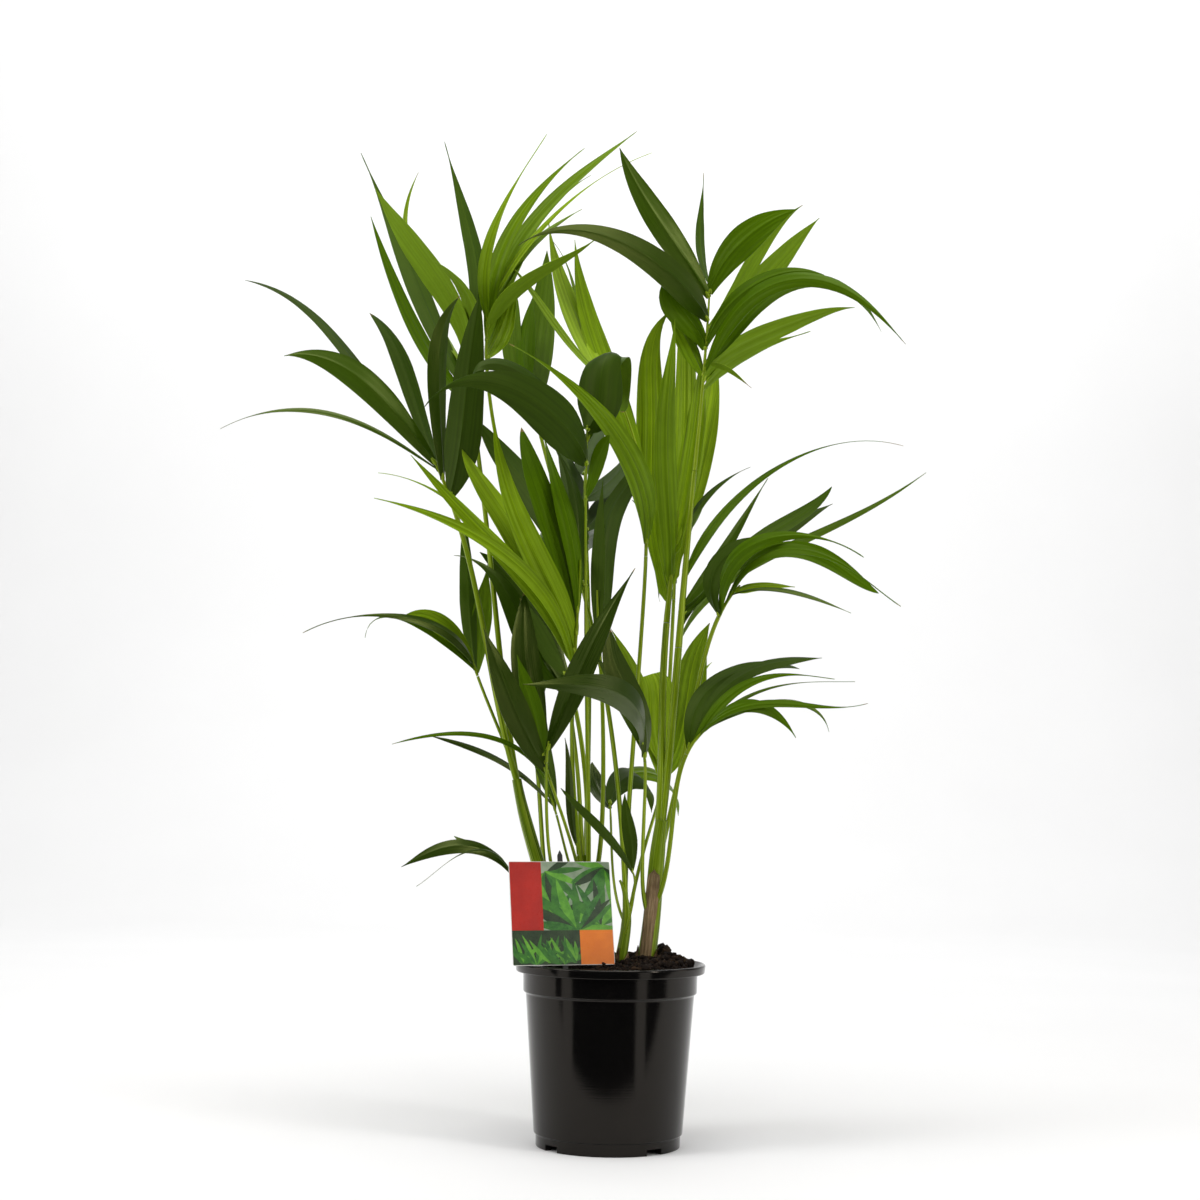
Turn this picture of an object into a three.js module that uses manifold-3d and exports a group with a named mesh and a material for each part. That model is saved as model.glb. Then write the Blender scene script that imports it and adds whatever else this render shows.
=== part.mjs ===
// A kentia palm in its black nursery pot. Millimetres, +Z up.
// Origin: centre of the flat underside of the pot. -Y is the front of the plant, +X its right.
import * as THREE from 'three';
import { mergeVertices } from 'three/addons/utils/BufferGeometryUtils.js';
import Module from 'manifold-3d';

const wasm = await Module();
wasm.setup();

// ---------------------------------------------------------------- pot
const POT_HEIGHT = 180;          // rim above the floor
const RIM_RADIUS = 95;           // outside of the rolled lip
const LIP_HEIGHT = 9.5;
const COLLAR_RADIUS = 87;        // straight band under the lip
const COLLAR_FOOT = 151;         // where the band ends
const BODY_TOP_RADIUS = 84;
const BODY_FOOT_RADIUS = 73.8;   // bottom of the tapering wall
const FOOT_STEP = 12;            // the foot ring is set in below this height
const FOOT_RADIUS = 71.6;
const FOOT_RING_WIDTH = 7;
const BASE_DISC_RADIUS = 40;     // flat disc under the middle, level with the feet
const CHANNEL_HEIGHT = 4;        // drainage channel between disc and foot ring
const WALL = 2;
const FLOOR_TOP = 7;
const POT_SEGMENTS = 24;
const NOTCH_WIDTH = 18;
const NOTCH_HEIGHT = 6;
const NOTCH_ANGLES = [-141, -51, 39, 129];   // degrees from the front, to the right

// ---------------------------------------------------------------- soil
const SOIL_LEVEL = 180;          // level patch the stems rise from
const SOIL_PATCH_RADIUS = 58;
const SOIL_EDGE_LEVEL = 172.5;
const SOIL_GAP = 0.4;
const STEM_CUT = SOIL_LEVEL + 0.4;

// ---------------------------------------------------------------- label
const CARD_WIDTH = 105;
const CARD_HEIGHT = 105;
const CARD_THICK = 0.8;
const CARD_FOOT = [-45.2, -58, 180.8];    // middle of its lower edge
const CARD_YAW = 20;           // degrees, right edge further back
const CARD_LEAN = 12;            // degrees, leaning back
const STAKE_WIDTH = 5;
const STAKE_THICK = 1.4;
const STAKE_OFFSET = 1.5;       // stake's middle, sideways from the card's middle
const STAKE_ABOVE = 8;           // spear tip above the card
const STAKE_BELOW = 16;          // length under the card's lower edge

// ---------------------------------------------------------------- palm
const CURVE_STEPS = 24;          // integration steps of a leaflet's midline
const STALK_STEPS = 48;          // integration steps of a stalk and its rib
const STALK_SIDES = 4;
const STALK_SEGMENTS = 5;
const RIB_SIDES = 3;
const RIB_SEGMENTS = 2;
const RIB_TURN = Math.PI;        // a rib's flat side faces down
const STEM_SIDES = 7;
const STEM_SEGMENTS = 2;
const JOINT_GAP = 0.6;           // between a stalk and the frond it carries
const BLADE_STATIONS = [0, 0.28, 0.58, 0.84, 1];
const SHORT_BLADE = 170;         // a leaflet shorter than this has fewer stations
const SHORT_STATIONS = [0, 0.34, 0.72, 1];
const BLADE_FOOT = 0.2;          // width where a leaflet leaves the rib, of the full width
const BLADE_MIN_THICK = 1.1;
const BLADE_THICK_RATIO = 0.1;   // thickness at the midrib, of the width
const SLIVER = 0.03;             // edges and slivers under this are closed up

// A limb is a curve that starts at its foot with an azimuth (degrees from +X) and a rise
// (degrees above level). Along it, droop lowers the rise and sweep turns the azimuth,
// each as a polynomial of the distance travelled.
// Stems: foot [x, y] on the soil, radius at foot and top.
// Fronds: foot of the stalk, blade = where the leaflets begin (share of the length),
// radius at the stalk's foot, at the blade and at the rib's tip; cut = where its rib is
// parted, above = the name of the upper piece. A leaflet is
// [place on the rib, azimuth, rise, length, 3 droops, 3 sweeps, width,
// azimuth and rise of its width, widest at, tip taper].
const stems = [
  { name: 'stem_left', foot: [-50.37, 9.88], azimuth: 168, rise: 82.4, length: 186.51, droop: [37.6, -34.46], sweep: [9.88, -0.67], radius: [8, 5.6] },
  { name: 'stem_middle', foot: [-20.47, 22.15], azimuth: -128.93, rise: 87.56, length: 105.45, droop: [13.23, -8.64], sweep: [-23.91, -13.35], radius: [9, 5.5] },
  { name: 'stem_centre_right', foot: [9.4, -14], azimuth: 1.46, rise: 80.41, length: 82.95, droop: [7.85, -43.64], sweep: [-5.84, -6.66], radius: [6, 4] },
  { name: 'stem_right', foot: [35.07, 0], azimuth: 0.11, rise: 79.83, length: 142.26, droop: [-22.77, 20.78], sweep: [-0.29, -0.05], radius: [11, 6] },
];

const fronds = [
  { name: 'frond_left_upper', stem: 'stem_left', tone: 'dark', foot: [-97.1, 15.8, 356.4], azimuth: -163.48, rise: 71.57, length: 348.2,
    droop: [-29.2, 32.1, 8.9], sweep: [11.6, 10.5, -22.5], blade: 0.833, radius: [3.3, 2.5, 0.9], leaflets: [
      [0.858, 295.9, 50.6, 209.3, -16.4, -4.4, -8.6, -46.5, 13, 51.8, 39.7, 162.2, 16.4, 0.32, 0.77],
      [0.912, 267.1, 63.8, 190.7, -41.9, 7.3, 47.4, -61.6, 52.6, 120.9, 25.2, -136.4, -10.5, 0.63, 1.3],
      [0.938, 129.4, 57.1, 198.1, -15, -54.5, 87.6, 21.8, 11.8, 17.5, 24.3, -139.6, -5.4, 0.62, 0.77],
      [0.942, 180.5, 33.2, 237.9, -13.5, 138.1, -59.4, 13.4, -8.7, 7.5, 6.9, -110.1, -55.1, 0.53, 2.86],
      [0.963, 215.6, 44.2, 195.7, -10.4, 14.2, 54.5, -21.2, -12.3, -0.7, 29.5, -155.4, -49, 0.57, 1.3],
      [0.992, 137.7, 37, 310.9, -23.5, -56, 109.9, 19.1, 8.7, 25.1, 17, -137.8, -15.2, 0.33, 0.77],
    ] },
  { name: 'frond_left_top', stem: 'stem_left', tone: 'mid', foot: [-95.7, 15.7, 349.6], azimuth: 157.21, rise: 76.78, length: 475.4,
    droop: [-31.8, 60.2, -27.6], sweep: [-14.8, -23.8, 11.1], blade: 0.771, radius: [3.2, 2.3, 0.9], leaflets: [
      [0.857, 162.5, 41.5, 240.4, -58.9, 38.8, -9.4, -3, 14.7, 12.5, 19.1, -144.3, -19.4, 0.27, 1],
      [0.885, 139.7, 48, 329, -50.7, 57, -22.8, -17.2, 40.8, 4.6, 26.3, -151.5, -11.7, 0.45, 2.2],
      [0.931, 119.8, 43.4, 310.2, 17.6, -143.6, 103, 7.4, 173.9, -285.7, 10.9, -137.1, 0.4, 0.4, 1],
      [0.948, 185.2, 96.9, 237.5, 186.3, -249.5, 105, -42.3, -25.6, 34.2, 30.7, -41.6, 33.1, 0.46, 1.3],
      [0.983, 349.5, 69.4, 114.4, 12.8, 37.7, -13.9, -248.3, -32.3, 112.3, 24.6, -43.3, -9.3, 0.34, 1.3],
      [1.000, 31, 63.7, 250.8, -36.5, 52.3, -24.7, 232.7, 6.5, -116.6, 22.2, -145.5, -0.6, 0.45, 2.2],
    ] },
  { name: 'frond_top_fan', stem: 'stem_middle', tone: 'light', foot: [-24.5, 18.5, 239.8], azimuth: 82.29, rise: 90.7, length: 639,
    droop: [77.9, -61.5, -21.6], sweep: [193.7, -21.1, -64.4], blade: 0.896, radius: [2.6, 1.9, 0.9], leaflets: [
      [0.911, 43.9, 51, 104.1, -34, -11.1, 30.9, 34.4, -9.6, -41.2, 27.3, 158, 6.4, 0.29, 1.3],
      [0.940, 91.1, 60.2, 139.5, -4.4, 20.5, -10.9, -67.7, -36.8, 12.2, 26.9, 52.7, -31, 0.4, 1.3],
      [0.958, 310.4, 56.7, 158.6, 88, -40.9, -25.9, 56.6, -10, -18, 18.4, 48.4, -24.4, 0.28, 1.3],
      [0.966, 356.7, 90.8, 225.2, 54.2, 20.9, -23.6, 5.3, -0.7, -1.9, 20.6, 151.3, 23.1, 0.23, 1.69],
      [0.971, 222.6, 74.1, 212.5, 12.1, 20.1, -13.9, 252.3, -10.4, -124.8, 15.8, 151, 23.9, 0.23, 3.71],
      [0.984, 48.4, 71.3, 277.5, 21.3, 66.1, -55.3, -66.6, -7.2, 31.9, 18.5, 153.4, 27.1, 0.35, 1.3],
      [0.987, 62.8, 54.5, 228, -15.3, 21.3, 16.2, -21.7, -34.4, 4.3, 12.9, 152.4, 10.6, 0.36, 1.3],
      [0.987, 70.8, 51.3, 201.1, -5.2, 37.2, -12.6, -32.5, -39.5, 22, 16, 155.9, 14.1, 0.29, 1.3],
      [0.995, 0.3, 68.2, 244.5, 55.3, -23.6, 18.6, -14.6, -6.7, 11.1, 8.8, 142.1, 39.1, 0.19, 3.71],
    ] },
  { name: 'frond_rear_centre_upper', stem: 'stem_centre_right', tone: 'mid', foot: [14.1, -13.9, 242], azimuth: 103.99, rise: 76.06, length: 575.4,
    droop: [7.6, 32.5, -41.1], sweep: [26, 81.5, -63.2], blade: 0.917, radius: [2.6, 1.9, 0.9], leaflets: [
      [0.942, 96.9, 50.1, 234.9, -16.2, -4.6, -9.8, -19.8, -48.7, 58.8, 37.8, 25.5, -17.5, 0.44, 1],
      [0.967, 136.9, 44.5, 193.7, -26.5, -85.7, 91.2, -84.4, -54.3, 158.9, 27.2, -31.9, 17.7, 0.5, 1.3],
      [0.998, 117.4, 55.9, 113.8, -17.7, -5.9, 1.6, -53.7, -22.7, 12.8, 25.7, 150.2, -13.1, 0.44, 1],
    ] },
  { name: 'frond_centre_tall', stem: 'stem_centre_right', tone: 'light', foot: [14.4, -14, 212.5], azimuth: 103.75, rise: 79.12, length: 573.3,
    droop: [-18.3, 1.9, 30.7], sweep: [-210.6, 134.6, 196.5], blade: 0.667, radius: [2.6, 1.9, 0.9], leaflets: [
      [0.692, 276.4, 35.7, 293, -19.5, 1.7, 27.1, -77.8, -58.2, 15.4, 27.5, -165.1, -42.3, 0.28, 2.2],
      [0.825, 134.1, 73, 281.3, 54.5, -105.9, 45.8, 50, -40.8, -24.1, 27.1, -159.2, -14.6, 0.45, 1.3],
      [0.983, 138.9, 41.6, 236, -77.8, 114.7, -76.1, -29.5, 55.4, -34.3, 25, -155.9, -10.8, 0.45, 1.69],
      [0.992, 155.8, 33.6, 205.9, -58.6, 24.8, 25.9, -1.4, 12.7, 12.8, 10.3, -144.4, -22.8, 0.52, 2.2],
      [0.992, 131.7, 37.1, 229.4, -24, -95.9, 107.8, -51.9, -36, 120.7, 9.2, -148.4, 6, 0.28, 1.69],
    ] },
  { name: 'frond_front_centre_upper', stem: 'stem_middle', tone: 'dark', foot: [-24.1, 18.8, 235.3], azimuth: -83.19, rise: 76.78, length: 483.6,
    droop: [-21, 21.1, 3.6], sweep: [-110.6, 192.4, -86.6], blade: 0.542, radius: [2.6, 1.9, 0.9], leaflets: [
      [0.668, 126.5, 47.6, 222.4, -51.4, 134, -92.2, 10.1, 61.1, -0.4, 38.8, -149, -16.6, 0.51, 0.77],
      [0.851, 297.4, 49.1, 74.7, -11.9, 11.3, 10.5, -25.8, 17.2, 26.4, 17.5, 149.2, 32.5, 0.62, 0.77],
      [0.920, 258, 31.4, 239.3, 31.3, -68.7, 127.7, -118.8, 155.1, -107, 46.8, -171.6, -65.8, 0.28, 2.2],
      [0.954, 242.1, 48, 164.3, 94.8, -303.3, 326.5, -125.3, 125, -29.3, 20.5, -127.9, -50.5, 0.51, 0.77],
      [0.966, 0.4, 63.9, 203.5, -174.3, 575, -168.3, 149.6, 18.7, -86.7, 18, 180, 0, 0.5, 0.6],
      [0.989, 17.7, 49.8, 108.3, -124.6, -10.9, 247.2, 47.7, 15.6, -17.6, 45, 180, 0, 0.48, 0.55],
    ] },
  { name: 'frond_centre_narrow', stem: 'stem_middle', tone: 'dark', foot: [-24.1, 18.8, 235.3], azimuth: -4.34, rise: 70.29, length: 319.9,
    droop: [-87.1, 146.1, -71.9], sweep: [-259.9, 21.8, 136.1], blade: 0.750, radius: [2.6, 1.9, 0.9], leaflets: [
      [0.812, 234.2, 82.3, 172.9, -20.2, 5.9, 3, -19.2, -20.1, -17, 16.4, -29.9, 0, 0.45, 1.3],
      [0.856, 73.9, 47.8, 274, -95.5, 211.2, -125, 120, -174.1, -132.5, 28.9, 159, -6.7, 0.57, 1.3],
    ] },
  { name: 'frond_centre_light', stem: 'stem_middle', tone: 'light', foot: [-25.7, 17.8, 250.3], azimuth: -143.29, rise: 75.41, length: 335.9,
    droop: [-22.7, 59.2, -44.7], sweep: [77.3, 119, -134.8], blade: 0.667, radius: [2.6, 1.9, 0.9], leaflets: [
      [0.667, 254.1, 62.4, 288.4, 57.3, 2.3, -6.9, -108, -5.4, 49.3, 15.8, -145.2, -53.1, 0.34, 1.3],
      [0.675, 224.5, 64.1, 289.4, 53.9, -81.8, 89.1, -75.2, 13.8, 17.4, 10.6, -137.1, -38.2, 0.24, 1.69],
      [0.683, 240.8, 65.5, 271.3, 105, -158.3, 73, -104.1, 32.1, 21.5, 22.8, -148.1, -45.9, 0.25, 1],
      [0.692, 205.6, 57.6, 242.4, -75.2, 212, -142.6, -0.3, -42.2, 0.6, 27.3, -152.9, -28.2, 0.53, 0.77],
      [0.717, 239.9, 66, 256.9, 58.2, -127.2, 51, -91, 17, 38.2, 29.7, -153.2, -29.1, 0.29, 1.3],
      [0.775, 228.7, 80.3, 219.3, 18.4, 5.2, -13.5, -85.9, -28, 24.9, 28.8, -149.5, -16.4, 0.57, 0.77],
      [0.842, 277.9, 76.7, 201.4, -29, 84.6, -32.1, -225.6, -49.5, 110.6, 20.2, -150.2, -12.2, 0.45, 2.2],
      [0.883, 99.3, 39.7, 210.5, -24.6, -98.9, 112.6, -70.2, 59.7, 138.6, 22.6, -148.4, 15.4, 0.45, 1.69],
    ] },
  { name: 'frond_centre_dark', stem: 'stem_middle', tone: 'dark', foot: [-25.7, 17.9, 250], azimuth: -160.48, rise: 79.52, length: 223,
    droop: [-50.7, 114.5, -60.8], sweep: [10.5, -9.7, 43.6], blade: 0.854, radius: [2.6, 1.9, 0.9], leaflets: [
      [0.894, 159.4, 40.8, 194.7, -75.6, 6.8, 110.5, 13.2, 16.2, -10.9, 30.5, -153.2, -21.3, 0.38, 2.2],
      [0.931, 123.9, 49.3, 182.9, -45.3, 69.6, -6.8, 13.3, 40.8, 24.1, 33.7, -151.8, -14.2, 0.56, 1],
      [0.985, 149, 46, 93.4, -31.2, 1, 19.3, 19.1, 17.9, 13.6, 24.9, -41.5, 29.6, 0.5, 1.3],
    ] },
  { name: 'frond_right_inner', stem: 'stem_right', tone: 'light', foot: [45.8, 0, 292.1], azimuth: 66.21, rise: 86.83, length: 354.6,
    droop: [83, -192.8, 116.2], sweep: [101.7, -32.5, -220.4], blade: 0.667, radius: [4.1, 3.4, 1], leaflets: [
      [0.733, 115.4, 62.2, 316.7, -67.5, -39.7, 126, 89.8, 82.6, 56.7, 33.2, -156.5, -0.8, 0.62, 1],
      [0.900, 71.8, 76.7, 298.8, -9.6, -39.6, 47.6, -72.3, 94.2, 151.7, 27.5, 148.1, -1.3, 0.45, 1.3],
      [0.792, 268.2, 68.3, 271.7, -6, 6.8, -21.6, -67.7, 67.2, 90, 26.2, -153.2, -11.4, 0.45, 1.3],
      [0.783, 70.3, 66.4, 278.8, 4.2, -30, 4.9, -61.5, 12.7, 40.9, 30.5, 155.2, 5.8, 0.51, 1],
      [0.875, 32.7, 80.2, 205.8, 11.9, -34.9, 15.3, -22.5, -7.2, -0.9, 27.8, 153.9, 6.5, 0.45, 1],
    ] },
  { name: 'frond_right_tall', stem: 'stem_right', tone: 'dark', foot: [45.8, 0, 291.7], azimuth: 53.23, rise: 77.34, length: 597.4,
    droop: [-42.7, 86.2, -50.7], sweep: [-25.5, 12.3, 24], blade: 0.348, radius: [4.3, 3.7, 1], cut: 0.66, above: 'frond_right_tall_fan', leaflets: [
      [0.358, 48.3, 62.1, 366.8, 155.5, -198.4, 68.9, -83.2, 69.6, -15.5, 13.3, 79.4, -49, 0.22, 1],
      [0.386, 50.6, 61.3, 232.5, 112.9, -160.3, 84.2, -75.9, 37.2, 4.7, 26, 138.9, 30.3, 0.61, 1.3],
      [0.403, 13.7, 39.6, 215.4, -106, 348.7, -259.5, 21.3, -47.8, 13.3, 18.9, 145.1, 37.3, 0.61, 0.77],
      [0.419, 344.2, 46, 159.3, -41.8, 36.7, -7.5, 0.6, 10.6, 7.6, 14.9, 145.6, 30.1, 0.27, 1.69],
      [0.467, 42.7, 63.6, 318.3, 61.7, -30.8, 46.1, -70.1, 44.5, -5.8, 11.4, 142.7, 35, 0.18, 3.71],
      [0.532, 87.1, 64.7, 126.4, 42.3, -15.1, 15, -133.8, 25.3, 46.6, 9.7, 144.8, 16.3, 0.39, 2.2],
      [0.806, 45.6, 45, 159.5, 1.4, 109.1, -87.9, -27.1, -20.9, 13.9, 18.2, 76.6, -49.9, 0.4, 2.86],
      [0.822, 30.1, 67.7, 190.8, 206.6, -336.8, 195.1, -66.3, 5.3, 39.8, 25.8, 69.8, -42, 0.39, 1.3],
      [0.832, 163.2, 61.6, 79.4, -8.9, 5, 14.1, -1.2, 1.9, 3.7, 23.3, -151, -19.3, 0.5, 1.3],
      [0.839, 302.7, 54.3, 292.3, -20.8, 376.6, -251.4, 67.1, -11.8, -19, 20.3, 120.4, 78.3, 0.23, 1.3],
      [0.855, 348.6, 3.9, 58.8, 85.5, 1.6, -44.8, 0.4, -1.4, -2.3, 7.5, 101.1, -33.1, 0.34, 1.69],
      [0.855, 352.1, 37.8, 244.2, -162.8, 566, -300.8, -66.7, 68.9, 2.3, 20.7, 114.6, 59.4, 0.28, 1],
      [0.881, 208.8, 69.9, 89.4, 81.5, -33.6, -66.8, -69.6, 55.5, 129.4, 37.9, -146.1, -43.1, 0.74, 0.77],
      [0.887, 292, 50.2, 165.9, 45.9, -24.8, 53.9, 87.5, -19.6, -20.6, 20.4, 141.5, 60.3, 0.4, 1.3],
      [0.903, 56, 41.9, 236.7, 35.9, -114.6, 77, -36.2, 28.7, -28.3, 31.4, 51.1, -47.8, 0.5, 1.3],
      [0.919, 42.9, 40.4, 205.4, -51.2, 24.7, 33, 18, -30.7, -24, 20.1, 44.3, -34.5, 0.51, 1.3],
      [0.935, 241.5, 32.6, 266.6, 28.9, -19.2, 63.6, -91.7, 108.1, -58.8, 31.9, 178.5, -67.9, 0.2, 1.69],
      [0.984, 302.3, 62.4, 132.7, 64.5, -58.8, 40.9, 81.4, -15, -15.4, 34.1, 162.6, 48.2, 0.5, 1.3],
      [0.977, 215.7, 50, 182.4, 11.4, -20, -8.4, -23.2, -1.8, 10.6, 29, -168, -39.4, 0.45, 1],
      [1.000, 116.8, 52, 167.6, -15.5, -6.3, 6, -68.4, -7.2, 45.1, 14.4, -142.2, 20.2, 0.34, 2.2],
    ] },
  { name: 'frond_right_middle', stem: 'stem_right', tone: 'dark', foot: [43.5, 0, 262.5], azimuth: 31.22, rise: 76.54, length: 314.8,
    droop: [-4.2, -14.2, 51.8], sweep: [-128.5, -148.8, 220.2], blade: 0.875, radius: [2.6, 2.1, 0.9], leaflets: [
      [0.878, 52.3, 134, 119, 170.1, 32.6, -72.2, -154.6, 8.9, 89.6, 24.3, 140.1, 28.2, 0.45, 1.3],
      [0.884, 262.1, 65.9, 208.9, 92.5, 19.8, -10.5, 130.9, 68.4, -122.3, 22.2, 128.7, 68.1, 0.22, 2.86],
      [0.922, 289.3, 49.5, 236.8, 43.6, 241, -201.3, 98.1, -57.1, 9.9, 14.6, 50.9, 72.2, 0.3, 3.71],
      [0.953, 324.8, 67.4, 183, 105.7, 192, -202.5, 24.8, 9.5, -13.9, 18.5, 65.1, 71.6, 0.59, 0.77],
      [0.959, 317, 14.9, 143, 69.6, -27.7, -4.6, 13.1, -4.9, -1.7, 5, 34.8, 58, 0.45, 1.3],
      [0.972, 336.3, 17.4, 63.6, 32.5, 3.5, -12.6, 2.6, -0.3, -1.8, 10.2, 74.7, 66.6, 0.22, 1.3],
    ] },
  { name: 'frond_right_lower', stem: 'stem_right', tone: 'dark', foot: [41.2, 0, 230.8], azimuth: -50.48, rise: 50.79, length: 207.4,
    droop: [-100.5, 59.4, 61.4], sweep: [-68.8, 49.8, 66.3], blade: 0.812, radius: [2.5, 2, 0.9], leaflets: [
      [0.836, 90.5, 79.8, 197.3, 139.3, -82.8, 33.8, -189.3, 145.7, -0.3, 20.1, 152.6, 38.1, 0.33, 0.77],
      [0.845, 48.8, 61.7, 189, 12.9, 144, -99.4, -31, -62.4, 54.4, 15, 146, 33.8, 0.66, 1.3],
      [0.873, 343.2, 57.2, 167.7, -26.7, 278.3, -188.3, 2.2, 33.5, -19, 12.6, 127.3, 52.2, 0.26, 2.86],
      [0.892, 330, 47.4, 176.9, 24.3, 120.2, -99, 18, 15, -9.4, 5.1, 112.2, 60, 0.2, 3.71],
      [0.934, 305.2, 35, 193.4, 53.9, 99.6, -135.1, 48.5, -17.8, 2.4, 7.9, 64.1, 74.2, 0.45, 2.2],
      [0.958, 307.6, 38.1, 126.4, 18.9, 160.4, -82.1, 25.5, 2.2, -0.6, 13.9, 62.3, 70.6, 0.44, 1.3],
      [0.991, 326, 28.7, 141, 36.2, -37.6, 106.2, 42.4, -2.5, -56.7, 6.7, 90.6, 63.3, 0.46, 1.3],
    ] },
  { name: 'frond_left_middle', stem: 'stem_left', tone: 'dark', foot: [-97.1, 15.8, 356.4], azimuth: 169.29, rise: 75.18, length: 139.9,
    droop: [38.5, -46.7, 11], sweep: [54.3, -7.2, -41.1], blade: 0.833, radius: [1.8, 1.5, 0.8], leaflets: [
      [0.858, 93.5, 54.4, 130.4, -15.9, -13, 4.8, -21.7, -8.1, 2.7, 24.1, 31.8, -17.4, 0.5, 1.69],
      [0.875, 226.2, 37.8, 151.9, 18, -77.9, 180.3, -76.9, 7, 91.9, 9.5, -117.4, -53.6, 0.47, 3.71],
      [0.875, 115.9, 61.1, 172.9, -27.5, 11.9, -7.2, -40.9, 28.6, 31.1, 19.3, -148.3, 5.1, 0.44, 1],
      [0.904, 242, 52.1, 211.3, 137.6, -122.3, 67.3, -92.1, 45.6, 9.4, 12.4, -87.4, -71.8, 0.18, 3.71],
      [0.938, 224.9, 53.1, 99.1, 32.3, -5.6, 52.1, -38, 11.4, 7.7, 22.3, -139.7, -54.7, 0.5, 1.3],
    ] },
  { name: 'frond_left_lower', stem: 'stem_middle', tone: 'dark', foot: [-22.3, 20.2, 215.8], azimuth: -101.87, rise: 44.5, length: 145.1,
    droop: [-56.6, -14.6, 50.8], sweep: [-108.2, 7.6, 50.9], blade: 0.854, radius: [1.6, 1.2, 0.7], leaflets: [
      [0.883, 96.6, 62, 116, 3, -16.5, -5.5, 71.6, -32.2, -67.3, 14, -33.6, 22.4, 0.45, 1],
      [0.912, 122.1, 29.7, 174.1, -8.2, 41, -14.2, 31.7, 35.4, 4.1, 7.2, -147.3, -36, 0.68, 1],
      [0.942, 111.9, 68.3, 69.6, 47.8, -24.6, -52.2, 66.2, -14.7, -48.8, 16, -146.8, -7.1, 0.39, 1.3],
      [0.956, 232.7, 73.7, 197.6, 151.7, -54.4, -6.8, -92.9, 27.1, 36.1, 5.6, -104.2, -61.1, 0.33, 0.77],
    ] },
  { name: 'frond_left_lowest', stem: 'stem_left', tone: 'dark', foot: [-52.8, 10.4, 195.8], azimuth: -116.39, rise: 43.19, length: 104.1,
    droop: [-36.2, 53.7, -23.1], sweep: [-72.3, -1.6, 45.2], blade: 0.875, radius: [1.7, 1.3, 0.7], leaflets: [
      [0.891, 237.9, 52.3, 141, 99.9, 132, -153.3, -42.6, 32, -7.4, 2.8, -38.4, -52.7, 0.22, 3.71],
      [0.912, 218.9, 49.2, 128, 74.2, 93.9, -89.9, -33, 7.2, -0.7, 14.4, -78.2, -69.6, 0.54, 1.3],
      [0.972, 158, 48.3, 64.9, 77.8, -40.7, -21.7, 21.4, -6.2, -7.6, 10.1, -130.8, -45.6, 0.4, 0.77],
    ] },
  { name: 'frond_front_left_inner', stem: 'stem_middle', tone: 'dark', foot: [-22.3, 20.2, 215.6], azimuth: -101.17, rise: 56.9, length: 190.6,
    droop: [-49.1, 92.1, -49.2], sweep: [-76.4, 4.5, 50.1], blade: 0.854, radius: [1.9, 1.5, 0.8], leaflets: [
      [0.898, 229.3, 44.5, 165.6, -28.2, 10.4, -3.2, 12.2, -16.2, -13.3, 29.1, -157.4, -31.4, 0.45, 1.3],
      [0.945, 242.9, 68.3, 115.3, 7.5, 2.2, -5.3, -17.6, -3.1, 8, 22.7, -148, -23.3, 0.45, 1.3],
      [0.989, 185.9, 82.2, 163.5, 34, -50.4, 0.2, 29.7, 42.4, 34.5, 31.5, -158.3, -12.8, 0.51, 1],
    ] },
  { name: 'frond_front_centre_blade', stem: 'stem_middle', tone: 'dark', foot: [-22.4, 20.2, 216.2], azimuth: -133.49, rise: 15.67, length: 214.8,
    droop: [-164.1, 68.3, 48.9], sweep: [17.8, 28.9, 15.8], blade: 0.896, radius: [1.9, 1.5, 0.9], leaflets: [
      [0.956, 304.7, 55.5, 204, -14.8, 8.9, 2.4, 26.4, 2.4, 31.7, 27.9, 160.3, 28.3, 0.4, 1.69],
    ] },
  { name: 'frond_front_centre', stem: 'stem_right', tone: 'dark', foot: [40.1, 0, 217.6], azimuth: -145.41, rise: 61.91, length: 190.6,
    droop: [-63.1, 5.6, 61.1], sweep: [180.4, 5.8, -188.3], blade: 0.875, radius: [2.2, 1.6, 0.8], leaflets: [
      [0.900, 290.3, 66.6, 145.7, 67.5, -45.2, -43.1, -185.6, 46.7, 114.9, 28.5, -154.1, -38.7, 0.62, 0.77],
      [0.938, 133.7, 68.4, 109, 40.1, -88, 66.8, 72.3, -6.6, -24.6, 17.1, -145.1, -17.9, 0.5, 1.3],
      [0.966, 276.8, 31.1, 235.1, -6.4, 143.5, -104.8, -86.7, 6, 14.5, 28.6, -162.8, -70.5, 0.42, 1.3],
    ] },
  { name: 'frond_rear_right_lower', stem: 'stem_centre_right', tone: 'light', foot: [13.8, -14, 207.6], azimuth: 63.4, rise: 65.07, length: 191.6,
    droop: [-31.3, 110, -89.5], sweep: [-2.2, -74.3, 79.7], blade: 0.812, radius: [2, 1.5, 0.8], leaflets: [
      [0.873, 109.1, 59.6, 185.3, -12.8, 5.2, 13.2, 23.1, 20.2, 8.4, 25.4, -154.1, -4.3, 0.44, 1.3],
      [0.916, 35.9, 48.8, 189.2, -77.9, 118.9, -47.6, 140, -117.8, -28.9, 40.3, 159.8, -1.2, 0.44, 1],
      [0.977, 143.7, 50.9, 108.6, -140.2, 87.2, 74.5, -51.1, 21.7, 41.6, 42, -156.6, -0.1, 0.72, 1],
      [0.995, 66.5, 28.5, 187.5, -28.6, -2.6, 29.5, 47.9, -29.7, -45.2, 20.8, 155.6, -14.6, 0.5, 1],
    ] },
  { name: 'frond_rear_centre_low', stem: 'stem_centre_right', tone: 'dark', foot: [14.8, -14, 217.2], azimuth: 125.9, rise: 45.76, length: 145.3,
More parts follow.
